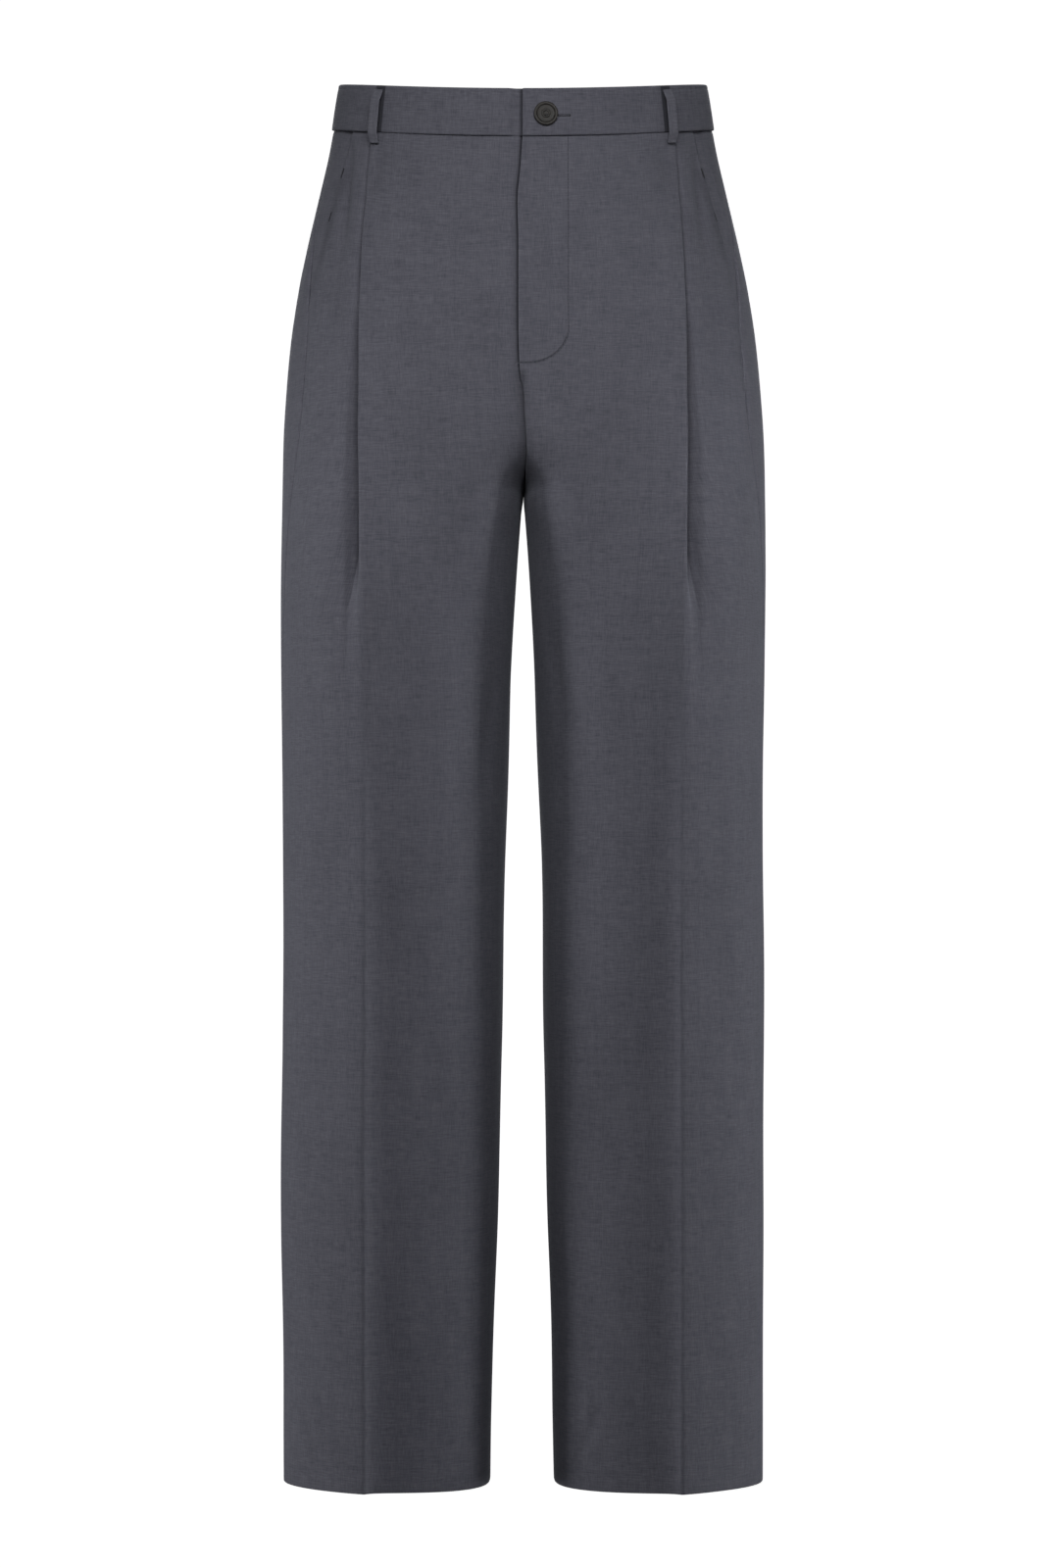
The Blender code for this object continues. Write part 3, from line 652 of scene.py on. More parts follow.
def fold_relief(side, back, z, s):
    """How far the folds lift the cloth at the places s of a row."""
    around = outline(z)
    relief = np.zeros(len(s))
    for fold in FOLDS:
        if fold.side != side or fold.back != back or not fold.low_z < z < fold.top_z:
            continue
        share = (fold.top_z - z) / (fold.top_z - fold.low_z)
        centre = around.s_at_x(abs(fold.top_x + (fold.low_x - fold.top_x) * share), back)
        fade = math.sin(math.pi * share) ** 1.2
        relief += fold.height * fade * np.exp(-(((s - centre) / fold.width) ** 2))
    return relief


def ripple(side, z, s):
    """The slow waves between the folds. They fade at the waist, which the band holds flat."""
    x, y, _ = outline(z).at(s, 0.0)
    waves = [
        noise.noise(Vector((side * px / RIPPLE_SIZE.x, py / RIPPLE_SIZE.y, z / RIPPLE_SIZE.z)))
        for px, py in zip(x, y)
    ]
    return RIPPLE * np.array(waves) * ease((SEAM_Z - z) / QUIET_TOP)


print("folds:", len(FOLDS))

# %% [markdown]
# ## From a row to a point
#
# A sheet is made row by row. Each row is a list of places (s, n) at one height. `lay_row` turns them into
# points. It adds the folds, and it tips the upper rows, because the waist lies lower in front than at the
# back. It also lets the centre seam wander by two or three millimetres, as a seam on soft cloth does, and it
# pushes the fronts forward beside that seam, the left one further, so that they hang flat to the fork.

# %% Points, attributes and sheets
CLOTH = 0.0009
CENTRE_REACH = 0.030
CENTRE_EDGE = 0.0045

CENTRE_LINE = table(
    "z shift left_push right_push",
    (-0.0185, 0.0000, 0.0000, 0.0000),
    (-0.2250, 0.0000, 0.0000, 0.0000),
    (-0.2500, 0.0008, 0.0012, 0.0000),
    (-0.2850, 0.0026, 0.0030, 0.0004),
    (-0.3050, 0.0016, 0.0070, 0.0020),
    (-0.3250, 0.0000, 0.0110, 0.0040),
    (-0.4200, 0.0000, 0.0080, 0.0020),
    (-0.5500, 0.0000, 0.0030, 0.0000),
    (-1.1020, 0.0000, 0.0000, 0.0000),
)
PUSH_REACH = 0.018
PUSH_START = 0.045
BACK_CLOSE = 0.0006
BACK_CLOSE_Z = -0.242
BACK_CLOSE_LENGTH = 0.040
BACK_CLOSE_REACH = 0.006


def centre_push(z, side, x, y):
    """How far forward a front is pushed at x, y; the push dies away under the fork, towards the inseam."""
    push = column(CENTRE_LINE, "left_push" if side > 0 else "right_push", z)
    return push * np.exp(-np.clip(x, 0.0, None) / PUSH_REACH) * ease((CROTCH_Y - y) / PUSH_START)


def centre_inward(z, back):
    """The way in, as (y, z), of an edge at the centre seam: square to it, in the plane between the legs."""
    step = 0.001
    upper, lower = (outline(max(z + d, CROTCH_Z)).points[-1 if back else 0, 1] for d in (step, -step))
    slope = (upper - lower) / (2 * step)
    way = np.array([-1.0, slope]) if back else np.array([1.0, -slope])
    return way / np.linalg.norm(way)


def lay_row(row, s, n, deep, side, back=False):
    """Points of one row; deep is how far its edges turn in."""
    z = row.z
    lift = (fold_relief(side, back, z, s) + ripple(side, z, s)) * row.quiet
    from_centre = outline(z).length - s if back else s
    in_plane = (from_centre < CENTRE_EDGE) * ease((z - CROTCH_Z) / CENTRE_EDGE)
    x, y, flat_y = outline(z).at(s, n + lift + row.n - deep * (1 - in_plane))
    way = centre_inward(z, back)
    if not back:
        y = y - centre_push(z, side, x, flat_y)
    y = y + way[0] * deep * in_plane
    if back:
        closing = BACK_CLOSE * ease((BACK_CLOSE_Z - z) / BACK_CLOSE_LENGTH) * (z > CROTCH_Z)
        x = x - closing * np.clip(1 - from_centre / BACK_CLOSE_REACH, 0.0, 1.0)
    x = side * x
    if not back:
        x = x + column(CENTRE_LINE, "shift", z) * np.exp(-((x / CENTRE_REACH) ** 2))
    tilt = waist_tilt(flat_y) * ease((z - LEVEL_Z) / (SEAM_Z - LEVEL_Z))
    return np.stack([x, y, row.height + tilt + way[1] * deep * in_plane], axis=1)


def link(name, mesh, material):
    mesh.materials.append(material)
    mesh.shade_smooth()
    piece = bpy.data.objects.new(f"{name}_cloth", mesh)
    bpy.context.scene.collection.objects.link(piece)
    return piece


def grid_faces(rows, columns, flip, wrap=False):
    """Corner numbers of the quads between the points of a grid."""
    count = columns if wrap else columns - 1
    down, across = np.meshgrid(np.arange(rows - 1), np.arange(count), indexing="ij")
    here, beside = down * columns + across, down * columns + (across + 1) % columns
    quads = np.stack([here, here + columns, beside + columns, beside], axis=-1).reshape(-1, 4)
    return (quads[:, ::-1] if flip else quads).tolist()


def add_cloth_data(mesh, data):
    """The UV map in metres and the three attributes that the suiting reads: u, v, gap, stitch and painted
    shade.
    """
    corners = np.empty(len(mesh.loops), np.int32)
    mesh.loops.foreach_get("vertex_index", corners)
    mesh.uv_layers.new(name="cloth").data.foreach_set("uv", data[:, :2][corners].ravel())
    for k, name in enumerate(("gap", "stitch", "painted_shade")):
        attribute = mesh.attributes.new(name, "FLOAT", "POINT")
        attribute.data.foreach_set("value", data[:, 2 + k].astype(np.float32))


def cloth_sheet(name, grid, flip):
    """A sheet through rows of x, y, z and its cloth data, thickened evenly to both sides."""
    flat = grid.reshape(-1, grid.shape[2])
    mesh = bpy.data.meshes.new(name)
    mesh.from_pydata(flat[:, :3].tolist(), [], grid_faces(*grid.shape[:2], flip))
    add_cloth_data(mesh, flat[:, 3:])
    sheet = link(name, mesh, SUITING)
    thicken = sheet.modifiers.new("Thickness", "SOLIDIFY")
    thicken.thickness = CLOTH
    thicken.offset = 0.0
    return sheet


def run_along(s, n):
    """Distance along the cloth from the first place of a row."""
    return np.concatenate([[0.0], np.cumsum(np.hypot(np.diff(s), np.diff(n)))])


print("cloth thickness:", CLOTH * 1000, "mm")

# %% [markdown]
# ## Rows and edges
#
# The rows lie five millimetres apart, and closer where the shape turns quickly: at the waist seam, at the end
# of the fly, at the fork and at the hem. Two things happen at the ends of every panel. At the top it tucks
# in under the waistband. At the bottom the hem is folded up inside the leg.
#
# Where two panels meet, each edge turns inwards, as the allowance does behind a pressed-open seam. That small
# roll gives the seam its soft dark line.

# %% Heights, tuck, hem and turned edges
STEPS = table(
    "to size",
    (-0.0225, 0.0020),
    (-0.1600, 0.0050),
    (-0.2000, 0.0040),
    (-0.2500, 0.0020),
    (-0.2700, 0.0040),
    (-0.3200, 0.0016),
    (-0.4200, 0.0045),
    (-0.9900, 0.0060),
    (-1.0900, 0.0040),
    (-1.1000, 0.0025),
)

TUCKS = table(
    "up n",
    (0.0050, -0.0028),
    (0.0028, -0.0028),
    (0.0013, -0.0022),
    (0.0004, -0.0012),
    (-0.0004, -0.0004),
    (-0.0014, -0.0001),
)
HEM_FOLD = 0.00065
HEM_INSIDE = (0.004, 0.012, 0.024, 0.040)

EDGES = table(
    "back share",
    (0.00025, 1.00),
    (0.0003, 0.58),
    (0.0006, 0.33),
    (0.0011, 0.16),
    (0.0018, 0.04),
    (0.0030, 0.00),
)
SEAM_DEPTH = 0.0024
LAP_DEPTH = 0.0004
POCKET_DEPTH = 0.0007

Row = namedtuple("Row", "z height n v quiet")


def panel_rows(lowest=HEM_Z):
    """The rows of a panel: outline height, own height, how far in, pattern height, and its folds' share."""
    rows = [Row(SEAM_Z, SEAM_Z + tuck.up, tuck.n, SEAM_Z + tuck.up, 0.0) for tuck in TUCKS]
    z = SEAM_Z - 0.003
    for step in STEPS:
        count = max(1, round((z - step.to) / step.size))
        for k in range(count):
            height = z + (step.to - z) * k / count
            if height > lowest:
                rows.append(Row(height, height, 0.0, height, 1.0))
        z = step.to
    if lowest > HEM_Z:
        return rows + [Row(lowest, lowest, 0.0, lowest, 1.0)]
    bottom = HEM_Z + CLOTH / 2
    for turn in np.radians((0, 30, 60, 90, 120, 150, 180)):
        n = -HEM_FOLD * (1 - math.cos(turn))
        height = bottom + HEM_FOLD * (1 - math.sin(turn))
        rows.append(Row(HEM_Z, height, n, HEM_Z - HEM_FOLD * turn, 1.0))
    for up in HEM_INSIDE:
        rows.append(Row(HEM_Z + up, bottom + up, -2 * HEM_FOLD, HEM_Z - HEM_FOLD * math.pi - up, 1.0))
    return rows


def turned_edge(edge_s, inward, depth):
    """Places (s, 0, depth) from an edge on; inward is 1 where the panel lies at greater s, and else -1."""
    return [(edge_s + inward * step.back, 0.0, depth * step.share) for step in EDGES]


PANEL_ROWS = panel_rows()
FACING_ROWS = panel_rows(POCKET_END_Z)
print("rows:", len(PANEL_ROWS), "a panel,", len(FACING_ROWS), "a facing")

# %% [markdown]
# ## The fronts
#
# A front runs from the fly to the side. Half way it is folded into a reverse pleat: the cloth turns back
# under itself and out again, so the centre panel lies on top and the deep shadow falls on its outer side.
# That shadow comes partly from the fold and partly from painted shade, darkened into the cloth beside it.
# The pleat is pressed flat at the waist, opens over the belly and has spread into a plain crease at the
# thigh. The table gives its depth, how far it still turns, and the distance between its layers.
#
# At the fly the left front laps over the right one. Its folded edge swings a few millimetres from side to
# side, which is what shows that it is a free edge. The right front steps in below it and runs on under the
# lap. Below the lap the two meet in the centre seam.

# %% Fronts
PLEATS = table(
    "z under turn layer groove width",
    (-0.0185, 0.0200, 180.0, 0.0010, 0.0000, 0.0030),
    (-0.0500, 0.0192, 180.0, 0.0013, 0.0030, 0.0022),
    (-0.1500, 0.0165, 180.0, 0.0018, 0.0058, 0.0026),
    (-0.2000, 0.0140, 180.0, 0.0024, 0.0074, 0.0036),
    (-0.2400, 0.0115, 180.0, 0.0031, 0.0084, 0.0044),
    (-0.2900, 0.0085, 178.0, 0.0034, 0.0080, 0.0048),
    (-0.3300, 0.0055, 165.0, 0.0030, 0.0062, 0.0050),
    (-0.3600, 0.0035, 130.0, 0.0022, 0.0048, 0.0052),
    (-0.3900, 0.0022, 80.0, 0.0016, 0.0030, 0.0056),
    (-0.4200, 0.0015, 35.0, 0.0012, 0.0014, 0.0060),
    (-0.4700, 0.0015, 8.0, 0.0010, 0.0000, 0.0080),
    (-0.5400, 0.0015, 0.0, 0.0010, 0.0000, 0.0080),
    (-1.1020, 0.0015, 0.0, 0.0010, 0.0000, 0.0080),
)
TURN_STEPS = 8
UNDER_STEPS = 4
SHORTEST_STEP = 0.0012
PLEAT_RISE_LENGTH = 0.075
PLEAT_FALL_LENGTH = 0.040
GROOVE_COLUMNS = 11
GROOVE_STEP = 0.0013
GROOVE_REACH = 2.6

FLY_EDGES = table(
    "z x",
    (-0.0185, -0.0004),
    (-0.0430, -0.0020),
    (-0.0700, -0.0042),
    (-0.1100, -0.0035),
    (-0.1780, -0.0035),
    (-0.2120, -0.0028),
    (-0.2260, -0.0020),
    (-0.2450, 0.00015),
    (-1.1020, 0.00015),
)
FLY_UNDERLAP = 0.015
FLY_RELEASE = 0.006
FLY_STEP = (0.0045, 0.0115)
FLY_DROP = 0.0016
FLY_COLUMNS = (-0.0016, -0.0009, -0.0003, 0.0003, 0.0009, 0.0015, 0.0022, 0.0030, 0.0042, 0.0058, 0.0078)
FLY_CLOSEST = 0.0003
FLY_BEFORE_LAP = 0.0025
FLY_SLOT = 0.0022
FLY_SLOT_AT = 0.0004
FLY_SLOT_WIDTH = 0.0014

INNER_COLUMNS = 30
OUTER_COLUMNS = 26
PRESS_HEIGHT = 0.0058
PRESS_WIDTHS = (0.0066, 0.0240)
PRESS_START_Z = -0.36
PRESS_LENGTH = 0.34


def pleat_path(z):
    """The pleat's fold as (s, n) steps from its outer edge: out, back under, and out again."""
    under = column(PLEATS, "under", z)
    turn = math.radians(column(PLEATS, "turn", z))
    layer = column(PLEATS, "layer", z)
    step = layer / 2 * turn / TURN_STEPS + (1 - turn / math.pi) * SHORTEST_STEP
    directions = [-turn * (k + 0.5) / TURN_STEPS for k in range(TURN_STEPS)]
    moves = [(step, angle) for angle in directions]
    moves += [(under / UNDER_STEPS, -turn)] * UNDER_STEPS
    moves += [(step, angle) for angle in reversed(directions)]
    path = [(0.0, 0.0)]
    for length, angle in moves:
        s, n = path[-1]
        path.append((s + length * math.cos(angle), n + length * math.sin(angle)))
    edge_s = path[TURN_STEPS // 2][0]
    middle_n = path[-1][1] / 2
    return [(s - edge_s, n - middle_n) for s, n in path]


def pressed_ridge(row, along):
    """The sharp ridge of a pressed crease, steeper on its inner side; along is measured from the crest."""
    share = ease((PRESS_START_Z - row.z) / PRESS_LENGTH)
    return PRESS_HEIGHT * share * np.exp(-np.abs(along) / np.where(along < 0, *PRESS_WIDTHS))


def sunk_beside_pleat(z, s):
    """How deep the cloth between the pleat and the pocket lies at s, with the groove beside the fold."""
    past = np.asarray(s) - outline(z).front_crease
    fall = ease(1 - past / PLEAT_FALL_LENGTH)
    width = column(PLEATS, "width", z)
    share = np.clip(past / width, 0.0, GROOVE_REACH)
    groove = column(PLEATS, "groove", z) * share * np.exp(1 - share) * ease(GROOVE_REACH - share)
    return pleat_path(z)[-1][1] * fall - groove


def fly_side(z, side):
    """The centre edge of a front: its turned edge and, on the right, the step in under the lap."""
    x = column(FLY_EDGES, "x", z)
    lapped = ease((z - FLY_END_Z + FLY_RELEASE) / FLY_RELEASE)
    depth = SEAM_DEPTH + (LAP_DEPTH - SEAM_DEPTH) * ease((z - FLY_END_Z + 3 * FLY_RELEASE) / FLY_RELEASE)
    if side > 0:
        if z > CROTCH_Z:
            depth = depth + column(CENTRE_LINE, "left_push", z) - column(CENTRE_LINE, "right_push", z)
        return turned_edge(x, 1, depth)
    start = SEAM / 2 if x > 0 else SEAM - x
    start += (-FLY_UNDERLAP - start) * ease((z - FLY_END_Z) / (2 * FLY_RELEASE))
    lap = -x * lapped
    edge = turned_edge(start, 1, depth)
    places = [s for s, _, _ in edge]
    places += list(np.linspace(places[-1], max(lap - FLY_BEFORE_LAP, places[-1] + 0.0005), 5)[1:])
    for beyond in FLY_COLUMNS:
        places.append(max(lap + beyond, places[-1] + FLY_CLOSEST))
    s = np.array(places)
    out = ease((s - lap - FLY_COLUMNS[4]) / (FLY_COLUMNS[-1] - FLY_COLUMNS[4]))
    slot = np.exp(-(((s - lap - FLY_SLOT_AT) / FLY_SLOT_WIDTH) ** 2))
    n = -lapped * (FLY_DROP * (1 - out) + FLY_SLOT * slot)
    deep = [edge_deep for _, _, edge_deep in edge] + [0.0] * (len(s) - len(edge))
    return list(zip(s.tolist(), n.tolist(), deep))


def front_row(z, side):
    """One row of a front as (s, n, depth), and the number of its place on the crease."""
    around = outline(z)
    fold = [(around.front_crease + s, n, 0.0) for s, n in pleat_path(z)]
    places = fly_side(z, side)
    start, first = places[-1][0], fold[0][0] - column(PLEATS, "under", z)
    across = [start + (first - start) * share for share in around.inner_shares(INNER_COLUMNS)[1:-1]]
    for s in across + list(np.linspace(first, fold[0][0], 5)[:-1]):
        rise = ease(1 - (fold[0][0] - s) / PLEAT_RISE_LENGTH)
        places.append((s, fold[0][1] * rise, 0.0))
    crease = len(places) + TURN_STEPS // 2
    places += fold
    closed = ease((POCKET_END_Z - z) / FLY_RELEASE)
    end = around.pocket() if z > POCKET_END_Z else around.side_seam() - SEAM / 2
    depth = POCKET_DEPTH + (SEAM_DEPTH - POCKET_DEPTH) * closed
    edge = turned_edge(end, -1, depth)[::-1]
    inner = [fold[-1][0] + GROOVE_STEP * k for k in range(1, GROOVE_COLUMNS + 1)]
    inner += list(np.linspace(inner[-1], edge[0][0], OUTER_COLUMNS - GROOVE_COLUMNS + 6)[1:-1])
    places += [(s, sunk_beside_pleat(z, s), deep) for s, _, deep in [(s, 0.0, 0.0) for s in inner] + edge]
    return places, crease


# The stitching that holds the fly's inner edge: straight down, then round into the fly.
FLY_STITCH_S = 0.0350
FLY_STITCH_Z = -0.2170
FLY_STITCH_ROUND = 0.030
FLY_STITCH_TOP_Z = SEAM_Z - 0.004
FLY_STITCH_OVER = 0.002


def fly_stitch(s, z):
    """Distance from the fly's J-shaped row of stitches, below zero inside it."""
    over = s - (FLY_STITCH_S - FLY_STITCH_ROUND)
    below = FLY_STITCH_Z + FLY_STITCH_ROUND - z
    outside = np.hypot(np.maximum(over, 0.0), max(below, 0.0))
    return outside + np.minimum(np.maximum(over, below), 0.0) - FLY_STITCH_ROUND


MARK_START_Z = FLY_END_Z - 0.02
FAINT_STITCH_Z = -0.198
FAINT_STITCH_LENGTH = 0.024
FAINT_STITCH = 2.2
# Painted shade on the fronts: how dark it is, and how far it spreads beside the pleat, along the centre seam,
# in the fold troughs and inside the pocket edge.
SHADE = 0.85
SHADE_WIDTH = 0.0012
PLEAT_SHADE_WIDTH = 0.0026
SEAM_SHADE = 0.6
SEAM_SHADE_WIDTHS = (0.0022, 0.0050)
TROUGH_SHADE = 48.0
EDGE_SHADE = 0.26
EDGE_SHADE_WIDTH = 0.0045
EDGE_SHADE_TOP_Z = -0.040
EDGE_SHADE_END_Z = -0.155
EDGE_SHADE_FADES = (0.020, 0.030)


def front_painted_shade(s, z, side, crease):
    """Painted shade on a front: dark lines beside the pleat, along the centre seam, under the fly's lap and
    in the fold troughs, and a soft shade inside the pocket edge.
    """
    around = outline(z)
    past = np.clip(s - around.front_crease, 0.0, None)
    outside = (np.arange(len(s)) > crease + TURN_STEPS) * column(PLEATS, "turn", z) / 180
    painted_shade = SHADE * outside * np.exp(-((past / PLEAT_SHADE_WIDTH) ** 2))
    seamed = ease((FLY_END_Z - z) / FLY_RELEASE) * (z > CROTCH_Z)
    painted_shade = np.maximum(painted_shade, SEAM_SHADE * seamed * np.exp(-np.abs(s) / SEAM_SHADE_WIDTHS[side < 0]))
    if side < 0:
        lap = max(-column(FLY_EDGES, "x", z), 0.0)
        lapped = ease((z - FLY_END_Z + 3 * FLY_RELEASE) / FLY_RELEASE)
        painted_shade = np.maximum(painted_shade, lapped * np.exp(-(((s - lap - FLY_SLOT_AT) / FLY_SLOT_WIDTH) ** 2)))
    beside = (around.pocket() - s) / EDGE_SHADE_WIDTH - 1
    below_top, above_end = EDGE_SHADE_TOP_Z - z, z - EDGE_SHADE_END_Z
    opening = ease(below_top / EDGE_SHADE_FADES[0]) * ease(above_end / EDGE_SHADE_FADES[1])
    soft = EDGE_SHADE * opening * np.exp(-(beside**2))
    soft += TROUGH_SHADE * np.clip(-fold_relief(side, False, z, s), 0.0, None)
    return np.minimum(painted_shade + soft, 1.0)


def front_marks(z, side, s, along, crease):
    """Distance to a seam, distance to the fly's stitches, and painted shade, at the places of a row."""
    far = np.full(len(s), FAR)
    from_centre = along if z < MARK_START_Z else far
    from_side = along[-1] - along if z < POCKET_END_Z - 0.004 else far
    faint = 1 + FAINT_STITCH * ease((z - FAINT_STITCH_Z) / FAINT_STITCH_LENGTH)
    stitch = fly_stitch(s, z) * faint if side > 0 and z > MARK_START_Z else far
    return np.minimum(from_centre, from_side), stitch, front_painted_shade(s, z, side, crease)


def make_panel(name, side, rows, read_row, read_marks, back=False):
    """A sheet through rows of places; u runs from the crease, so that the warp lies straight along it."""
    grid = []
    for row in rows:
        places, crease = read_row(row.z, side)
        s, n, deep = np.array(places).T
        along = run_along(s, n - deep)
        from_crease = along - along[crease]
        ridge = pressed_ridge(row, -from_crease if back else from_crease)
        marks = read_marks(row.z, side, s, along, crease)
        points = lay_row(row, s, n + ridge, deep, side, back)
        grid.append(np.column_stack([points, side * from_crease, np.full(len(s), row.v), *marks]))
    return cloth_sheet(name, np.array(grid), side < 0)


FRONTS = [make_panel(f"front_{wearer}", side, PANEL_ROWS, front_row, front_marks) for side, wearer in SIDES]
print("fronts:", [len(front.data.polygons) for front in FRONTS], "faces each")

# %% [markdown]
# ## The backs
#
# A back runs from the side seam over the back crease to the centre back and the inseam. Cloth that is cut
# flat follows a round seat by means of a dart: a narrow wedge is stitched away at the waist. Only its sewn
# line shows, about nine centimetres long, half way between the side and the centre back.

# %% Backs
BACK_OUTER_COLUMNS = 30
BACK_INNER_COLUMNS = 34
DART_SHARE = 0.70
DART_SLANT = 0.10
DART_END_Z = -0.105


def back_row(z, side):
    """One row of a back as (s, n, depth), and the number of its place on the crease."""
    around = outline(z)
    first = turned_edge(around.side_seam() + SEAM / 2, 1, SEAM_DEPTH)
    last = turned_edge(around.length - SEAM / 2, -1, SEAM_DEPTH)[::-1]
    outer = np.linspace(first[-1][0], around.back_crease, BACK_OUTER_COLUMNS + 1)[1:]
    shares = around.inner_shares(BACK_INNER_COLUMNS, back=True)[1:-1]
    inner = [last[0][0] - (last[0][0] - around.back_crease) * share for share in shares][::-1]
    places = first + [(s, 0.0, 0.0) for s in outer]
    crease = len(places) - 1
    places += [(s, 0.0, 0.0) for s in inner] + last
    return places, crease


def back_marks(z, side, s, along, crease):
    dart = outline(z).length * DART_SHARE + DART_SLANT * (SEAM_Z - z)
    stitch = s - dart if z > DART_END_Z else np.full(len(s), FAR)
    return np.minimum(along, along[-1] - along), stitch, np.zeros(len(s))


BACKS = [make_panel(f"back_{wearer}", side, PANEL_ROWS, back_row, back_marks, True) for side, wearer in SIDES]
print("backs:", [len(back.data.polygons) for back in BACKS], "faces each")

# %% [markdown]
# ## The pocket facings
#
# A slanted pocket opens along the edge of the front. Behind it lies a strip of the same suiting, the facing,
# which belongs to the back. It comes out from under the front and rises to the side seam.

# %% Pocket facings
FACING_UNDER = 0.012
FACING_RISE = 0.020
FACING_COLUMNS = 12
# How dark the painted shade is on the facing, just outside the pocket edge.
POCKET_SHADE = 0.5


def facing_row(z, side):
    """One row of a facing as (s, n, depth), and the number of its first place."""
    around = outline(z)
    pocket, seam = around.pocket(), around.side_seam() - SEAM / 2
    wide = ease((seam - pocket - FACING_RISE / 3) / FACING_RISE)
    start = min(pocket, seam - FACING_RISE / 3)
    edge = turned_edge(seam, -1, SEAM_DEPTH)[::-1]
    under = start - FACING_UNDER * np.array([1.0, 0.66, 0.33])
    shown = np.linspace(start, edge[0][0], FACING_COLUMNS)[:-1]
    places = []
    for s, _, deep in [(s, 0.0, 0.0) for s in np.concatenate([under, shown])] + edge:
        rise = ease((s - pocket - WALL) / FACING_RISE) * wide
        places.append((s, (-LAYER - SEAM) * (1 - rise) + sunk_beside_pleat(z, s), deep))
    return places, 0


# Distance to the side seam, no stitches, and painted shade beside the pocket edge.
def facing_marks(z, side, s, along, crease):
    beside = np.clip((s - outline(z).pocket()) / SHADE_WIDTH, 0.0, None)
    return along[-1] - along, np.full(len(s), FAR), POCKET_SHADE * np.exp(-(beside**2))


FACINGS = [
    make_panel(f"pocket_facing_{wearer}", side, FACING_ROWS, facing_row, facing_marks)
    for side, wearer in SIDES
]
print("facings:", [len(facing.data.polygons) for facing in FACINGS], "faces each")

# %% [markdown]
# ## The waistband
#
# The waistband is two layers of cloth folded over a stiff canvas, so it is thicker than the rest and keeps a
# rounded top edge. It is swept: a rounded section, 37 mm high, is carried along the waist from the fly to
# the centre back. A shallow groove just below the top edge marks where the inner layer is rolled and
# stitched. The ends close in smaller and smaller sections, which rounds them. The right end runs on under
# the left one, to carry the button.

# %% Waistband
BAND_WALL = 0.0024
BAND_PROUD = 0.0008
BAND_UNDERLAP = 0.036
BAND_CROWN = 0.00035
BAND_LINE = 0.0036
BAND_LINE_WIDTH = 0.0006
BAND_LINE_DEPTH = 0.00022
BAND_COLUMNS = 70
# Where the painted shade lies on the band's right half, beside the left end, and how wide it is.
BAND_SLOT_AT = 0.0006
BAND_SLOT_WIDTH = 0.0014
BAND_FRONT = 0.03
BAND_FRONT_COLUMNS = 48
LOOP_WIDTH = 0.0090
LOOP_BESIDE = (-0.001, 0.0, 0.0012)
FRONT_LOOP_PLACE = -0.0055
BACK_LOOP_SHARE = 0.68
BAND_FACE_ROWS = (0.05, 0.075, 0.088, 0.098, 0.108, 0.122, 0.15, 0.22, 0.32, 0.45, 0.6, 0.75, 0.87, 0.95)
ROUND_STEPS = 4
END_ROUND = 0.0009
EDGE_ROUND = 0.96
TINY = 1e-6


def section(height, wall, face_rows):
    """A rounded section as (down, out), clockwise from the top of its outer face."""
    radius = wall / 2 * EDGE_ROUND
    outer = [(share * height, wall / 2) for share in face_rows]
    turn = np.linspace(0, math.pi, 2 * ROUND_STEPS + 1)
    bottom = [(height - radius + radius * math.sin(t), wall / 2 * math.cos(t)) for t in turn]
    top = [(radius - radius * math.sin(t), -wall / 2 * math.cos(t)) for t in turn]
    inner = [(share * height, -wall / 2) for share in face_rows[::-2]]
    return np.array(outer + bottom + inner + top)


def closed_sweep(name, rings, material, flip):
    """A closed tube through rings of x, y, z and cloth data, with its ends filled."""
    rings = np.array(rings, float)
    count, size = rings.shape[:2]
    first, last = list(range(size)), list(range((count - 1) * size, count * size))
    faces = grid_faces(count, size, flip, wrap=True)
    faces += [first, last[::-1]] if flip else [first[::-1], last]
    flat = rings.reshape(count * size, -1)
    mesh = bpy.data.meshes.new(name)
    mesh.from_pydata(flat[:, :3].tolist(), [], faces)
    add_cloth_data(mesh, flat[:, 3:])
    return link(name, mesh, material)


def shrunk(shape, inset, height):
    """The section with everything drawn in by inset."""
    middle = np.array([height / 2, 0.0])
    half = np.array([height / 2, shape[:, 1].max()])
    return middle + (shape - middle) * (1 - inset / half)


def rounded_ends(starts):
    """Places and insets that round both ends of a sweep through the given places."""
    turn = np.linspace(0, math.pi / 2, ROUND_STEPS + 1)[:-1]
    ins = END_ROUND * (1 - np.sin(turn))
    offs = END_ROUND * (1 - np.cos(turn))
    first = [(starts[0] + o, i) for o, i in zip(offs, ins)]
    last = [(starts[-1] - o, i) for o, i in zip(offs, ins)]
    return first + [(s, 0.0) for s in starts[1:-1]] + last[::-1]


def front_place(around):
    return around.front_crease + FRONT_LOOP_PLACE


def back_place(around):
    return around.length * BACK_LOOP_SHARE


def centre_back_place(around):
    return around.length


def band_places(side):
    """Places along the band, close together at its front end and beside the loops."""
    around = outline(SEAM_Z)
    begin = column(FLY_EDGES, "x", SEAM_Z) if side > 0 else -BAND_UNDERLAP
    places = list(np.linspace(begin, BAND_FRONT, BAND_FRONT_COLUMNS))
    places += list(np.linspace(BAND_FRONT, around.length - SEAM / 2, BAND_COLUMNS)[1:])
    for place in (front_place(around), back_place(around)):
        places += [place + way * (LOOP_WIDTH / 2 + beyond) for way in (-1, 1) for beyond in LOOP_BESIDE]
    return sorted(places)


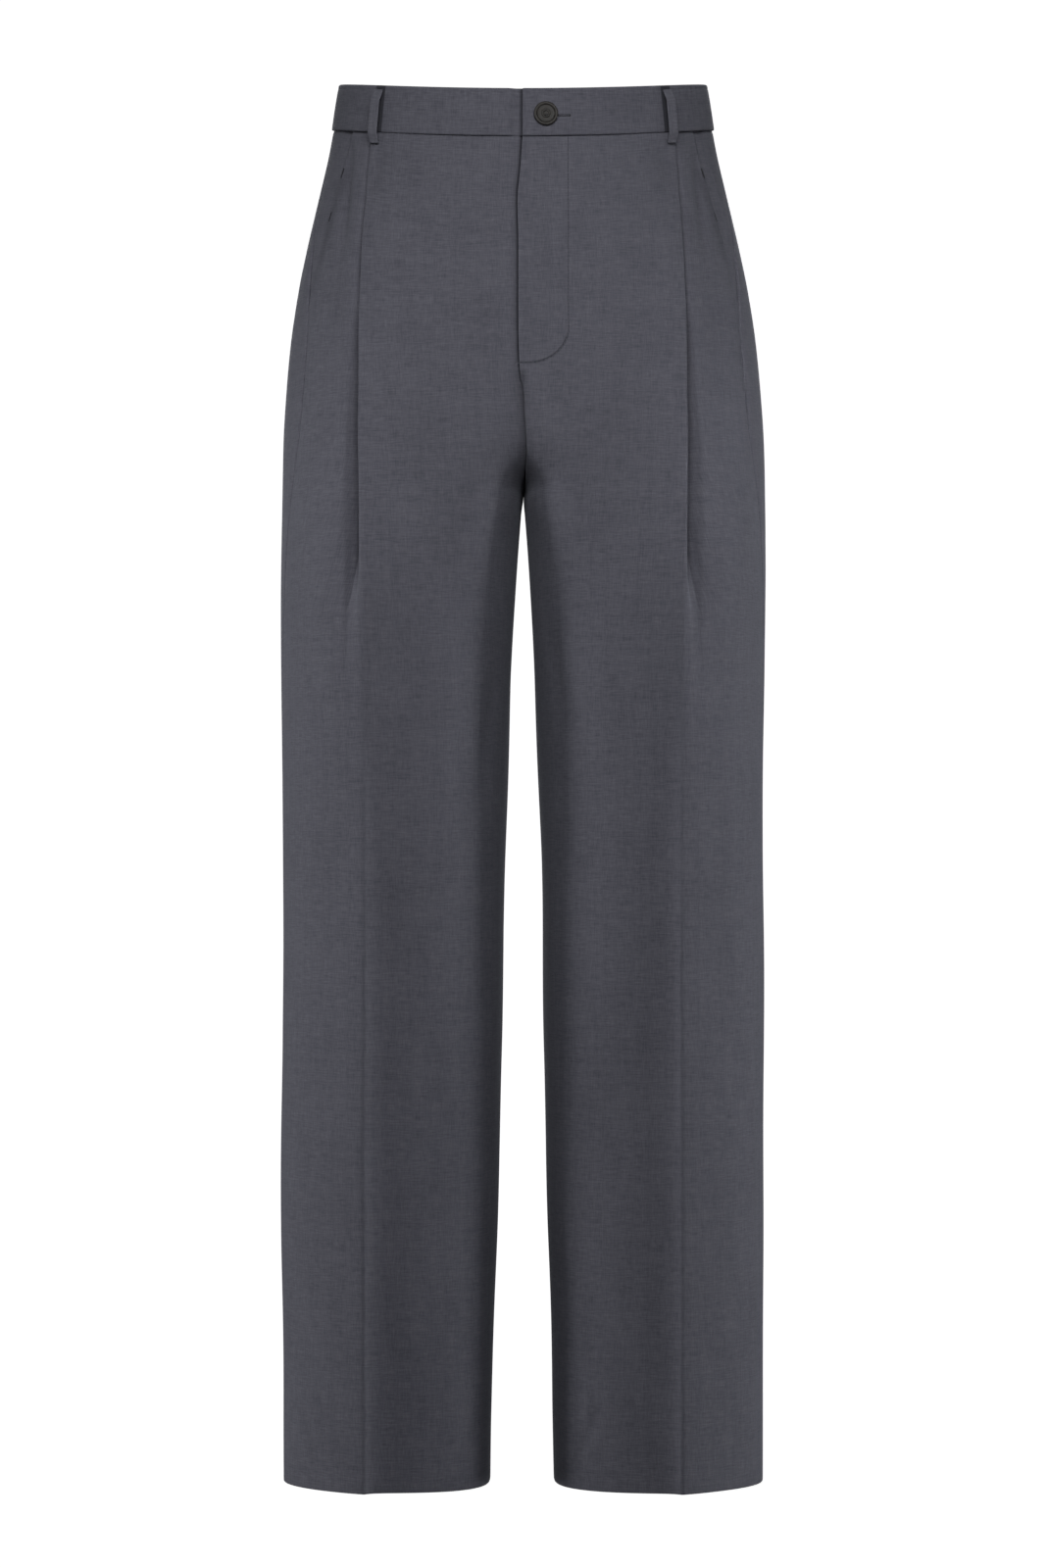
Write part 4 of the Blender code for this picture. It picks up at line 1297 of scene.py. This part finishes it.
def band_depth(s, side):
    """How far in the right end of the band lies where it runs under the left one."""
    if side > 0:
        return 0.0
    return -(BAND_WALL + SEAM) * ease((FLY_STEP[1] + 2 * SEAM - s) / (FLY_STEP[1] - FLY_STEP[0] + 3 * SEAM))


def band_painted_shade(s, side):
    """Painted shade on the band: beside the left end, over the right one, and behind the belt loops."""
    painted_shade = 0.0
    if side < 0:
        lap = -column(FLY_EDGES, "x", SEAM_Z)
        painted_shade = math.exp(-(((s - lap - BAND_SLOT_AT) / BAND_SLOT_WIDTH) ** 2))
    for place in (front_place(outline(SEAM_Z)), back_place(outline(SEAM_Z))):
        beside = LOOP_WIDTH / 2 + LOOP_BESIDE[-1] - abs(s - place)
        painted_shade = max(painted_shade, SHADE * ease(beside / LOOP_BESIDE[-1]))
    return painted_shade


def make_band(side, wearer):
    height = BAND_HEIGHT - SEAM
    shape = section(height, BAND_WALL, BAND_FACE_ROWS)
    crown = BAND_CROWN * (1 - (shape[:, 0] / height * 2 - 1) ** 2)
    line = BAND_LINE_DEPTH * np.exp(-(((shape[:, 0] - BAND_LINE) / BAND_LINE_WIDTH) ** 2))
    shape[:, 1] += np.where(shape[:, 1] > BAND_WALL / 2 - TINY, crown - line, 0.0)
    beyond_front = outline(SEAM_Z).length - SEAM / 2 - BAND_FRONT
    rings = []
    for s, inset in rounded_ends(band_places(side)):
        painted_shade = band_painted_shade(s, side)
        ring = []
        for down, out in shrunk(shape, inset, height):
            around = outline(TOP_Z - round(down, 4))
            at = s
            if s >= BAND_FRONT:
                at = BAND_FRONT + (s - BAND_FRONT) * (around.length - SEAM / 2 - BAND_FRONT) / beyond_front
            x, y, flat_y = around.at(at, out + BAND_PROUD + band_depth(s, side))
            z = round(TOP_Z - down, 6) + waist_tilt(flat_y)
            # Only the outer face carries the painted shade.
            v, painted_dark = (-down, painted_shade) if out > 0 else (down, 0.0)
            ring.append((side * x, y, z, side * s, v, FAR, FAR, painted_dark))
        rings.append(ring)
    return closed_sweep(f"waistband_{wearer}", rings, SHADED_BAND_SUITING, side < 0)


# The band is the same suiting, set a little darker: painted shade for the darker light that the band gets.
SHADED_BAND_SUITING = make_suiting("suiting_band_painted_darker", 0.36)
BANDS = [make_band(side, wearer) for side, wearer in SIDES]
print("waistband:", [len(band.data.polygons) for band in BANDS], "faces each")

# %% [markdown]
# ## The belt loops
#
# Each loop is a strip nine millimetres wide, folded from cloth and sewn down at both ends. Between them it
# stands a few millimetres off the band so that a belt can pass. Its lower end turns in just under the waist
# seam. Loops lie on the front pleats, at the sides of the back and at the centre back.

# %% Belt loops
LOOP_WALL = 0.0016
LOOP_GAP = 0.0034
CENTRE_LOOP_GAP = 0.0056
LOOP_TOP = 0.0035
LOOP_TAIL = 0.0085
LOOP_TAIL_LIFT = 0.00055
LOOP_RISE = 0.23
LOOP_STEPS = 40
LOOP_FACE_ROWS = (0.12, 0.2, 0.3, 0.4, 0.5, 0.6, 0.7, 0.8, 0.88)
LOOP_DIP = 0.00018
LOOP_NEAR = 0.01


def loop_profile(share, gap):
    """The loop's distance out from the cloth and down from the band's top edge, at a share of its length."""
    sewn = BAND_PROUD + BAND_WALL / 2 + SEAM + LOOP_WALL / 2
    rise = ease(share / LOOP_RISE) * ease((1 - share) / LOOP_RISE)
    out = sewn + LOOP_TAIL_LIFT * share + (gap - SEAM) * rise
    return out, LOOP_TOP + (BAND_HEIGHT + LOOP_TAIL - LOOP_TOP) * share


def loop_path(gap):
    """The loop's length along its profile, as (distance, share) pairs evenly spaced."""
    shares = np.linspace(0, 1, 4 * LOOP_STEPS + 1)
    out, down = np.array([loop_profile(share, gap) for share in shares]).T
    along = run_along(down, out)
    even = np.linspace(0, along[-1], LOOP_STEPS + 1)
    return even, np.interp(even, along, shares)


def make_loop(name, side, place, gap):
    """A loop; place tells where its middle lies along an outline."""
    shape = section(LOOP_WIDTH, LOOP_WALL, LOOP_FACE_ROWS)
    dip = LOOP_DIP * np.cos(np.pi * (shape[:, 0] / LOOP_WIDTH * 2 - 1)) ** 2
    shape[:, 1] -= np.where(shape[:, 1] > LOOP_WALL / 2 - TINY, dip, 0.0)
    even, shares = loop_path(gap)
    rings = []
    for along, inset in rounded_ends(list(even)):
        share = float(np.interp(along, even, shares))
        out, down = loop_profile(share, gap)
        ahead = loop_profile(min(share + LOOP_NEAR, 1.0), gap)
        behind = loop_profile(max(share - LOOP_NEAR, 0.0), gap)
        slope = math.atan2(ahead[0] - behind[0], ahead[1] - behind[1])
        around = outline(TOP_Z - down)
        ring = []
        for across, lift in shrunk(shape, inset, LOOP_WIDTH):
            s = place(around) + across - LOOP_WIDTH / 2
            x, y, flat_y = around.at(min(s, around.length), out + lift * math.cos(slope))
            if s > around.length:
                x = around.length - s
            z = round(TOP_Z - down + lift * math.sin(slope), 6) + waist_tilt(flat_y)
            # The faces that turn towards the band are darkened as painted shade.
            ring.append((side * x, y, z, across, -along, FAR, FAR, SHADE if lift < 0 else 0.0))
        rings.append(ring)
    return closed_sweep(name, rings, LIT_LOOP_SUITING, side > 0)


# The loops are the same suiting, set much lighter: painted light for the light they catch where they stand
# off the band.
LIT_LOOP_SUITING = make_suiting("suiting_loop_painted_lighter", 0.56)
LOOPS = []
for side, wearer in SIDES:
    LOOPS.append(make_loop(f"belt_loop_front_{wearer}", side, front_place, LOOP_GAP))
    LOOPS.append(make_loop(f"belt_loop_back_{wearer}", side, back_place, LOOP_GAP))
LOOPS.append(make_loop("belt_loop_centre_back", 1, centre_back_place, CENTRE_LOOP_GAP))
print("belt loops:", len(LOOPS))

# %% [markdown]
# ## The button
#
# The button is turned from dark horn: a round disc with a raised rim, a dished face and a small boss in the
# middle. Buttons are cut on a lathe, and a lathe is the way to model one. It starts as a cylinder. Its top
# face is inset and pushed in or pulled out, ring by ring, and the sharp edges are bevelled at the end. Four
# small threads cross the middle.

# %% Button
BUTTON_RADIUS = 0.0094
BUTTON_HEIGHT = 0.0038
BUTTON_X = 0.0175
BUTTON_DROP = 0.0215
BUTTON_FOOT = 0.004
BUTTON_SIDES = 64
BUTTON_RIM = 0.0008
BUTTON_SOLE = 0.0022
BUTTON_BEVEL = 0.00022

BUTTON_RINGS = table(
    "inset rise",
    (0.0006, 0.00030),
    (0.0012, 0.0),
    (0.0010, -0.00085),
    (0.0030, -0.00010),
    (0.0004, 0.00042),
    (0.0010, 0.0),
    (0.0004, -0.00035),
)


def band_point(s, down, n, side):
    """A point over the waistband: s along the outline, the distance below its top edge, and n outwards."""
    z = round(TOP_Z - down, 6)
    x, y, flat_y = outline(z).at(s, n + BAND_PROUD)
    return Vector((side * float(x), float(y), z + waist_tilt(float(flat_y))))


def button_seat():
    """The place of the button on the band and the way it faces."""
    lower = band_point(BUTTON_X, BUTTON_DROP + BUTTON_FOOT, 0.0, 1)
    upper = band_point(BUTTON_X, BUTTON_DROP - BUTTON_FOOT, 0.0, 1)
    inner = band_point(BUTTON_X - BUTTON_FOOT, BUTTON_DROP, 0.0, 1)
    outer = band_point(BUTTON_X + BUTTON_FOOT, BUTTON_DROP, 0.0, 1)
    axis = (outer - inner).cross(upper - lower).normalized()
    foot = band_point(BUTTON_X, BUTTON_DROP, BAND_WALL / 2 + BAND_CROWN + SEAM, 1)
    turn = axis.to_track_quat("Z", "Y").to_matrix().to_4x4()
    return Matrix.Translation(foot + axis * SEAM) @ turn


def only(piece):
    """Selects this piece alone and makes it active."""
    bpy.ops.object.select_all(action="DESELECT")
    piece.select_set(True)
    bpy.context.view_layer.objects.active = piece


def inset(piece, pick, thickness, depth):
    """Insets the faces that pick chooses, and moves them out by depth."""
    only(piece)
    bpy.ops.object.mode_set(mode="EDIT")
    bpy.ops.mesh.select_mode(type="FACE")
    bpy.ops.mesh.select_all(action="DESELECT")
    work = bmesh.from_edit_mesh(piece.data)
    for face in work.faces:
        face.select = pick(face)
    bmesh.update_edit_mesh(piece.data)
    bpy.ops.mesh.inset(thickness=thickness, depth=depth)
    bpy.ops.object.mode_set(mode="OBJECT")


def settle(piece, place, material):
    """Puts a small piece at its place, keeps the place in its mesh, and shades it smooth by angle."""
    piece.data.transform(place)
    piece.data.materials.clear()
    piece.data.materials.append(material)
    only(piece)
    bpy.ops.object.shade_smooth_by_angle(angle=math.radians(50))
    return piece


def make_button():
    bpy.ops.mesh.primitive_cylinder_add(
        vertices=BUTTON_SIDES,
        radius=BUTTON_RADIUS,
        depth=BUTTON_HEIGHT - BUTTON_RIM,
        location=(0, 0, (BUTTON_HEIGHT - BUTTON_RIM) / 2),
    )
    button = bpy.context.active_object
    button.name = "button_turned"
    for ring in BUTTON_RINGS:
        top = max(face.center.z for face in button.data.polygons if len(face.vertices) > 4) - TINY
        inset(button, lambda face: len(face.verts) > 4 and face.calc_center_median().z > top, *ring)
    inset(button, lambda face: face.normal.z < -0.9, BUTTON_SOLE, 0.0)
    bevel = button.modifiers.new("Bevel", "BEVEL")
    bevel.width, bevel.segments = BUTTON_BEVEL, 3
    bevel.limit_method, bevel.angle_limit = "ANGLE", math.radians(18)
    only(button)
    bpy.ops.object.modifier_apply(modifier=bevel.name)
    return settle(button, button_seat(), HORN)


TURNED_RINGS = 7500


def make_horn():
    """Dark horn: nearly black brown with faint turned rings and a dull polish."""
    horn = Finish("dark_horn", Specular_IOR_Level=0.22)
    place = horn.add("ShaderNodeTexCoord", output=3)
    seat = button_seat().to_translation()
    centred = horn.add("ShaderNodeVectorMath", {"operation": "SUBTRACT"}, {0: place, 1: tuple(seat)})
    far = horn.add("ShaderNodeVectorMath", {"operation": "LENGTH"}, {0: centred}, output=1)
    rings = far.maths("SINE", far * TURNED_RINGS)
    grain = horn.add("ShaderNodeTexNoise", sockets={"Vector": centred, "Scale": 420.0, "Detail": 4.0})
    streak = grain.rise(0.35, 0.7)
    horn.set("Base Color", horn.mix(streak, (0.012, 0.011, 0.010, 1.0), (0.030, 0.027, 0.024, 1.0)))
    horn.set("Roughness", 0.46 + streak * 0.12)
    bump = horn.add("ShaderNodeBump", sockets={"Strength": 0.12, "Distance": 0.0001, "Height": rings + grain})
    horn.set("Normal", bump)
    return horn.material


def make_thread(name, colour, roughness):
    """Twisted sewing thread: fine slanted bands along a colour."""
    thread = Finish(name, Specular_IOR_Level=0.3)
    place = thread.add("ShaderNodeTexCoord", output=3)
    twist = thread.add(
        "ShaderNodeTexWave",
        {"wave_type": "BANDS", "bands_direction": "DIAGONAL"},
        {"Vector": place, "Scale": 900.0, "Distortion": 1.2},
        output=1,
    )
    pale = tuple(min(1.0, part * 1.5) for part in colour[:3]) + (1.0,)
    thread.set("Base Color", thread.mix(twist, colour, pale))
    thread.set("Roughness", roughness + twist * 0.1)
    thread.set("Normal", thread.add("ShaderNodeBump", sockets={"Distance": 0.0001, "Height": twist}))
    return thread.material


HORN = make_horn()
BUTTON = make_button()
DARK_THREAD = make_thread("dark_thread", (0.020, 0.020, 0.024, 1.0), 0.6)
CLOTH_THREAD = make_thread("suiting_thread", (0.062, 0.062, 0.078, 1.0), 0.65)
print("button:", len(BUTTON.data.polygons), "faces")

# %% [markdown]
# ## Stitches
#
# All sewing here is small and tone on tone. A stitch is a short capsule of thread: a stretched sphere, sunk
# halfway into the cloth. One unit is modelled once and copied along each seam. The curved row that holds the
# fly is about sixty of them. The buttonhole is a slit edged with close stitches, and short dense bars, called
# bartacks, keep the ends of each pocket from tearing.

# %% Stitches
STITCH_LENGTH = 0.0026
STITCH_GAP = 0.0008
STITCH_WIDTH = 0.00045


def make_stitch():
    """One stitch along X, from a coarse sphere."""
    bpy.ops.mesh.primitive_uv_sphere_add(segments=8, ring_count=6, radius=0.5)
    stitch = bpy.context.active_object
    stitch.data.transform(Matrix.Rotation(math.pi / 2, 4, "Y"))
    stitch.name = "stitch_unit"
    return stitch


def place_matrix(place, along, out, length, width, sunk=0.35):
    """Where a stitch goes: at place, running along, lying on the side that faces out."""
    along, out = Vector(along).normalized(), Vector(out).normalized()
    across = out.cross(along).normalized()
    out = along.cross(across).normalized()
    turn = Matrix((along, across, out)).transposed().to_4x4()
    size = Matrix.Diagonal((length, width, width * 0.8, 1.0))
    return Matrix.Translation(Vector(place) + out * width * (0.5 - sunk)) @ turn @ size


def stitch_piece(name, places, material):
    """One mesh of many stitches."""
    work = bmesh.new()
    for place in places:
        part = STITCH.data.copy()
        part.transform(place)
        work.from_mesh(part)
        bpy.data.meshes.remove(part)
    mesh = bpy.data.meshes.new(name)
    work.to_mesh(mesh)
    work.free()
    mesh.materials.append(material)
    mesh.shade_smooth()
    piece = bpy.data.objects.new(name, mesh)
    bpy.context.scene.collection.objects.link(piece)
    return piece


def cloth_spot(s, z, n, side):
    """A point of a front's outer face."""
    level = Row(z, z, 0.0, z, 1.0)
    return Vector(lay_row(level, np.array([s]), np.array([n + CLOTH / 2]), np.zeros(1), side)[0].tolist())


def stitch_on(spot, s, height, side, heading, length=STITCH_LENGTH, width=STITCH_WIDTH, step=0.0015):
    """The place of a stitch on a face; spot(s, height) gives its points, heading the stitch's way on it."""
    right = spot(s + step, height) - spot(s - step, height)
    up = spot(s, height + step) - spot(s, height - step)
    along = right.normalized() * heading[0] + up.normalized() * heading[1]
    return place_matrix(spot(s, height), along, side * right.cross(up), length, width)


def fly_stitch_places():
    """Down the straight part of the fly's stitching and round its curve, one stitch after another."""
    centre = (FLY_STITCH_S - FLY_STITCH_ROUND, FLY_STITCH_Z + FLY_STITCH_ROUND)
    straight = FLY_STITCH_TOP_Z - centre[1]
    curve = FLY_STITCH_ROUND * math.pi / 2
    total = straight + curve + centre[0] + FLY_STITCH_OVER
    places = []
    for k in range(int(total / (STITCH_LENGTH + STITCH_GAP))):
        run = (k + 0.5) * (STITCH_LENGTH + STITCH_GAP)
        if run < straight:
            s, z, heading = FLY_STITCH_S, FLY_STITCH_TOP_Z - run, (0.0, -1.0)
        elif run < straight + curve:
            turn = (run - straight) / FLY_STITCH_ROUND
            s = centre[0] + FLY_STITCH_ROUND * math.cos(turn)
            z = centre[1] - FLY_STITCH_ROUND * math.sin(turn)
            heading = (-math.sin(turn), -math.cos(turn))
        else:
            s, z, heading = centre[0] - (run - straight - curve), FLY_STITCH_Z, (-1.0, 0.0)
        places.append(stitch_on(lambda s, z: cloth_spot(s, z, 0.0, 1), s, z, 1, heading))
    return places


BARTACK_LENGTH = 0.0075
BARTACK_WIDTH = 0.00156
BARTACK_THREAD = 0.00042
BARTACK_INSIDE = 0.0016
BARTACK_STITCHES = 22


def bartack_places(z, side):
    """A bar of close stitches across the pocket edge, beside the edge and along it."""
    places = []
    for k in range(BARTACK_STITCHES):
        height = z + BARTACK_LENGTH * (k / (BARTACK_STITCHES - 1) - 0.5)
        s = outline(height).pocket() - BARTACK_INSIDE
        n = sunk_beside_pleat(height, s)
        spot = lambda s, z: cloth_spot(s, z, n, side)
        places.append(stitch_on(spot, s, height, side, (1.0, 0.0), BARTACK_WIDTH, BARTACK_THREAD))
    return places


STITCH = make_stitch()
POCKET_TACKS = (-0.052, -0.088)
SEWING = [stitch_piece("fly_stitching", fly_stitch_places(), CLOTH_THREAD)]
for side, wearer in SIDES:
    for k, z in enumerate(POCKET_TACKS):
        SEWING.append(stitch_piece(f"bartack_{wearer}_{k + 1}", bartack_places(z, side), DARK_THREAD))
print("sewing:", len(SEWING), "pieces,", len(SEWING[0].data.polygons), "faces along the fly")

# %% [markdown]
# ## The buttonhole
#
# The buttonhole runs from under the button towards the side. Its edge is a ring drawn out into a long oval:
# a torus whose two halves are moved apart. Fine stitches stand round it like spokes, and inside it the
# slit shows as a dark line. That dark ring is painted shade: a near-black sheet for the shade in the closed
# slit.

# %% Buttonhole
HOLE_START = 0.0262
HOLE_END = 0.0372
HOLE_STITCHES = 46
HOLE_WIDTH = 0.0009
HOLE_STITCH = (0.0011, 0.0004)


def on_band(s, down, heading, length, width):
    """The place of a stitch on the outer face of the band's left half."""
    spot = lambda s, height: band_point(s, -height, BAND_WALL / 2 + BAND_CROWN, 1)
    return stitch_on(spot, s, -down, 1, heading, length, width, 0.001)


def hole_places():
    """Spokes round a long oval, from end to end and back."""
    reach = HOLE_END - HOLE_START
    places = []
    for k in range(HOLE_STITCHES):
        turn = math.tau * k / HOLE_STITCHES
        s = (HOLE_START + HOLE_END) / 2 + (reach / 2 - HOLE_WIDTH) * max(-1.0, min(1.0, 1.4 * math.cos(turn)))
        rise = HOLE_WIDTH * 0.75 * math.copysign(abs(math.sin(turn)) ** 0.5, math.sin(turn))
        heading = (math.cos(turn) * 0.6, math.sin(turn))
        places.append(on_band(s, BUTTON_DROP - rise, heading, *HOLE_STITCH))
    return places


def make_slit():
    """Painted shade for the opening: a flattened dark ring, filled, drawn out between the two ends of the
    buttonhole.
    """
    bpy.ops.mesh.primitive_torus_add(
        major_segments=40,
        minor_segments=8,
        major_radius=0.00045,
        minor_radius=0.00022,
    )
    slit = bpy.context.active_object
    slit.name = "buttonhole_slit"
    half = (HOLE_END - HOLE_START) / 2 - HOLE_WIDTH
    for vertex in slit.data.vertices:
        vertex.co.x += math.copysign(half, vertex.co.x)
    middle = (HOLE_START + HOLE_END) / 2
    seat = on_band(middle, BUTTON_DROP, (1.0, 0.0), 1.0, 1.0)
    place = Matrix.LocRotScale(
        band_point(middle, BUTTON_DROP, BAND_WALL / 2 + BAND_CROWN - 0.00005, 1),
        seat.to_quaternion(),
        Vector((1.0, 1.0, 0.9)),
    )
    return settle(slit, place, make_slit_shade())


def make_slit_shade():
    """Painted shade in the slit: near-black, with a fine noise in it."""
    painted_dark = Finish("slit_painted_shade", Roughness=0.95, Specular_IOR_Level=0.1)
    place = painted_dark.add("ShaderNodeTexCoord", output=3)
    fibre = painted_dark.add("ShaderNodeTexNoise", sockets={"Vector": place, "Scale": 2600.0, "Detail": 2.0})
    painted_dark.set("Base Color", painted_dark.mix(fibre, (0.010, 0.010, 0.012, 1.0), (0.028, 0.028, 0.034, 1.0)))
    return painted_dark.material


SEWING.append(stitch_piece("buttonhole_stitches", hole_places(), DARK_THREAD))
SLIT = make_slit()


def make_button_thread():
    """Four short threads that cross in the middle of the button."""
    seat = button_seat()
    out = seat.to_3x3() @ Vector((0, 0, 1))
    places = []
    for k in range(4):
        turn = math.pi / 2 * k + math.pi / 4
        foot = seat @ Vector((0.0007 * math.cos(turn), 0.0007 * math.sin(turn), BUTTON_HEIGHT - 0.0010))
        along = seat.to_3x3() @ Vector((-math.sin(turn), math.cos(turn), 0.0))
        places.append(place_matrix(foot, along, out, 0.0013, 0.00045))
    return stitch_piece("button_thread", places, DARK_THREAD)


SEWING.append(make_button_thread())
bpy.data.objects.remove(STITCH)
print("buttonhole:", round((HOLE_END - HOLE_START) * 1000, 1), "mm long")

# %% [markdown]
# ## Placing the pieces
#
# Each piece rides on the root, and the solid that it stands for is hidden. The flat size of a panel comes
# from its own UV map, which is its pattern in metres: its width, its length, and the area inside its edges.
# The waistband and the loops count as they are sewn, folded to their finished width. These sizes are printed.

# %% Ride, replace and measure
LOOP_FINISHED = 0.010
SHEETS = [(piece, "hung", BANDS) for piece in FRONTS + BACKS + FACINGS]
SHEETS += [(piece, "folded", []) for piece in BANDS] + [(piece, "folded", BANDS) for piece in LOOPS]


def cut_size(piece):
    """Width, length and area of a sheet's pattern; a band or a loop counts at its finished width."""
    mesh = piece.data
    uv = np.empty(len(mesh.loops) * 2)
    mesh.uv_layers["cloth"].data.foreach_get("uv", uv)
    width, length = np.ptp(uv.reshape(-1, 2), axis=0)
    for pieces, finished in ((BANDS, BAND_HEIGHT), (LOOPS, LOOP_FINISHED)):
        if piece in pieces:
            length = float(max(width, length))
            return finished, length, finished * length
    corners = uv.reshape(-1, 4, 2)
    first, second = corners[:, 2] - corners[:, 0], corners[:, 3] - corners[:, 1]
    area = np.abs(first[:, 0] * second[:, 1] - first[:, 1] * second[:, 0]).sum() / 2
    return float(width), float(length), float(area)


for piece in [BUTTON, SLIT] + SEWING:
    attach(piece, "root")
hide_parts("button")
for piece, held, upon in SHEETS:
    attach(piece, "root")
    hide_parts(piece.name.removesuffix("_cloth"))
    width, length, area = cut_size(piece)
    print(f"{piece.name}: {width:.3f} x {length:.3f} m, {area:.4f} m2")
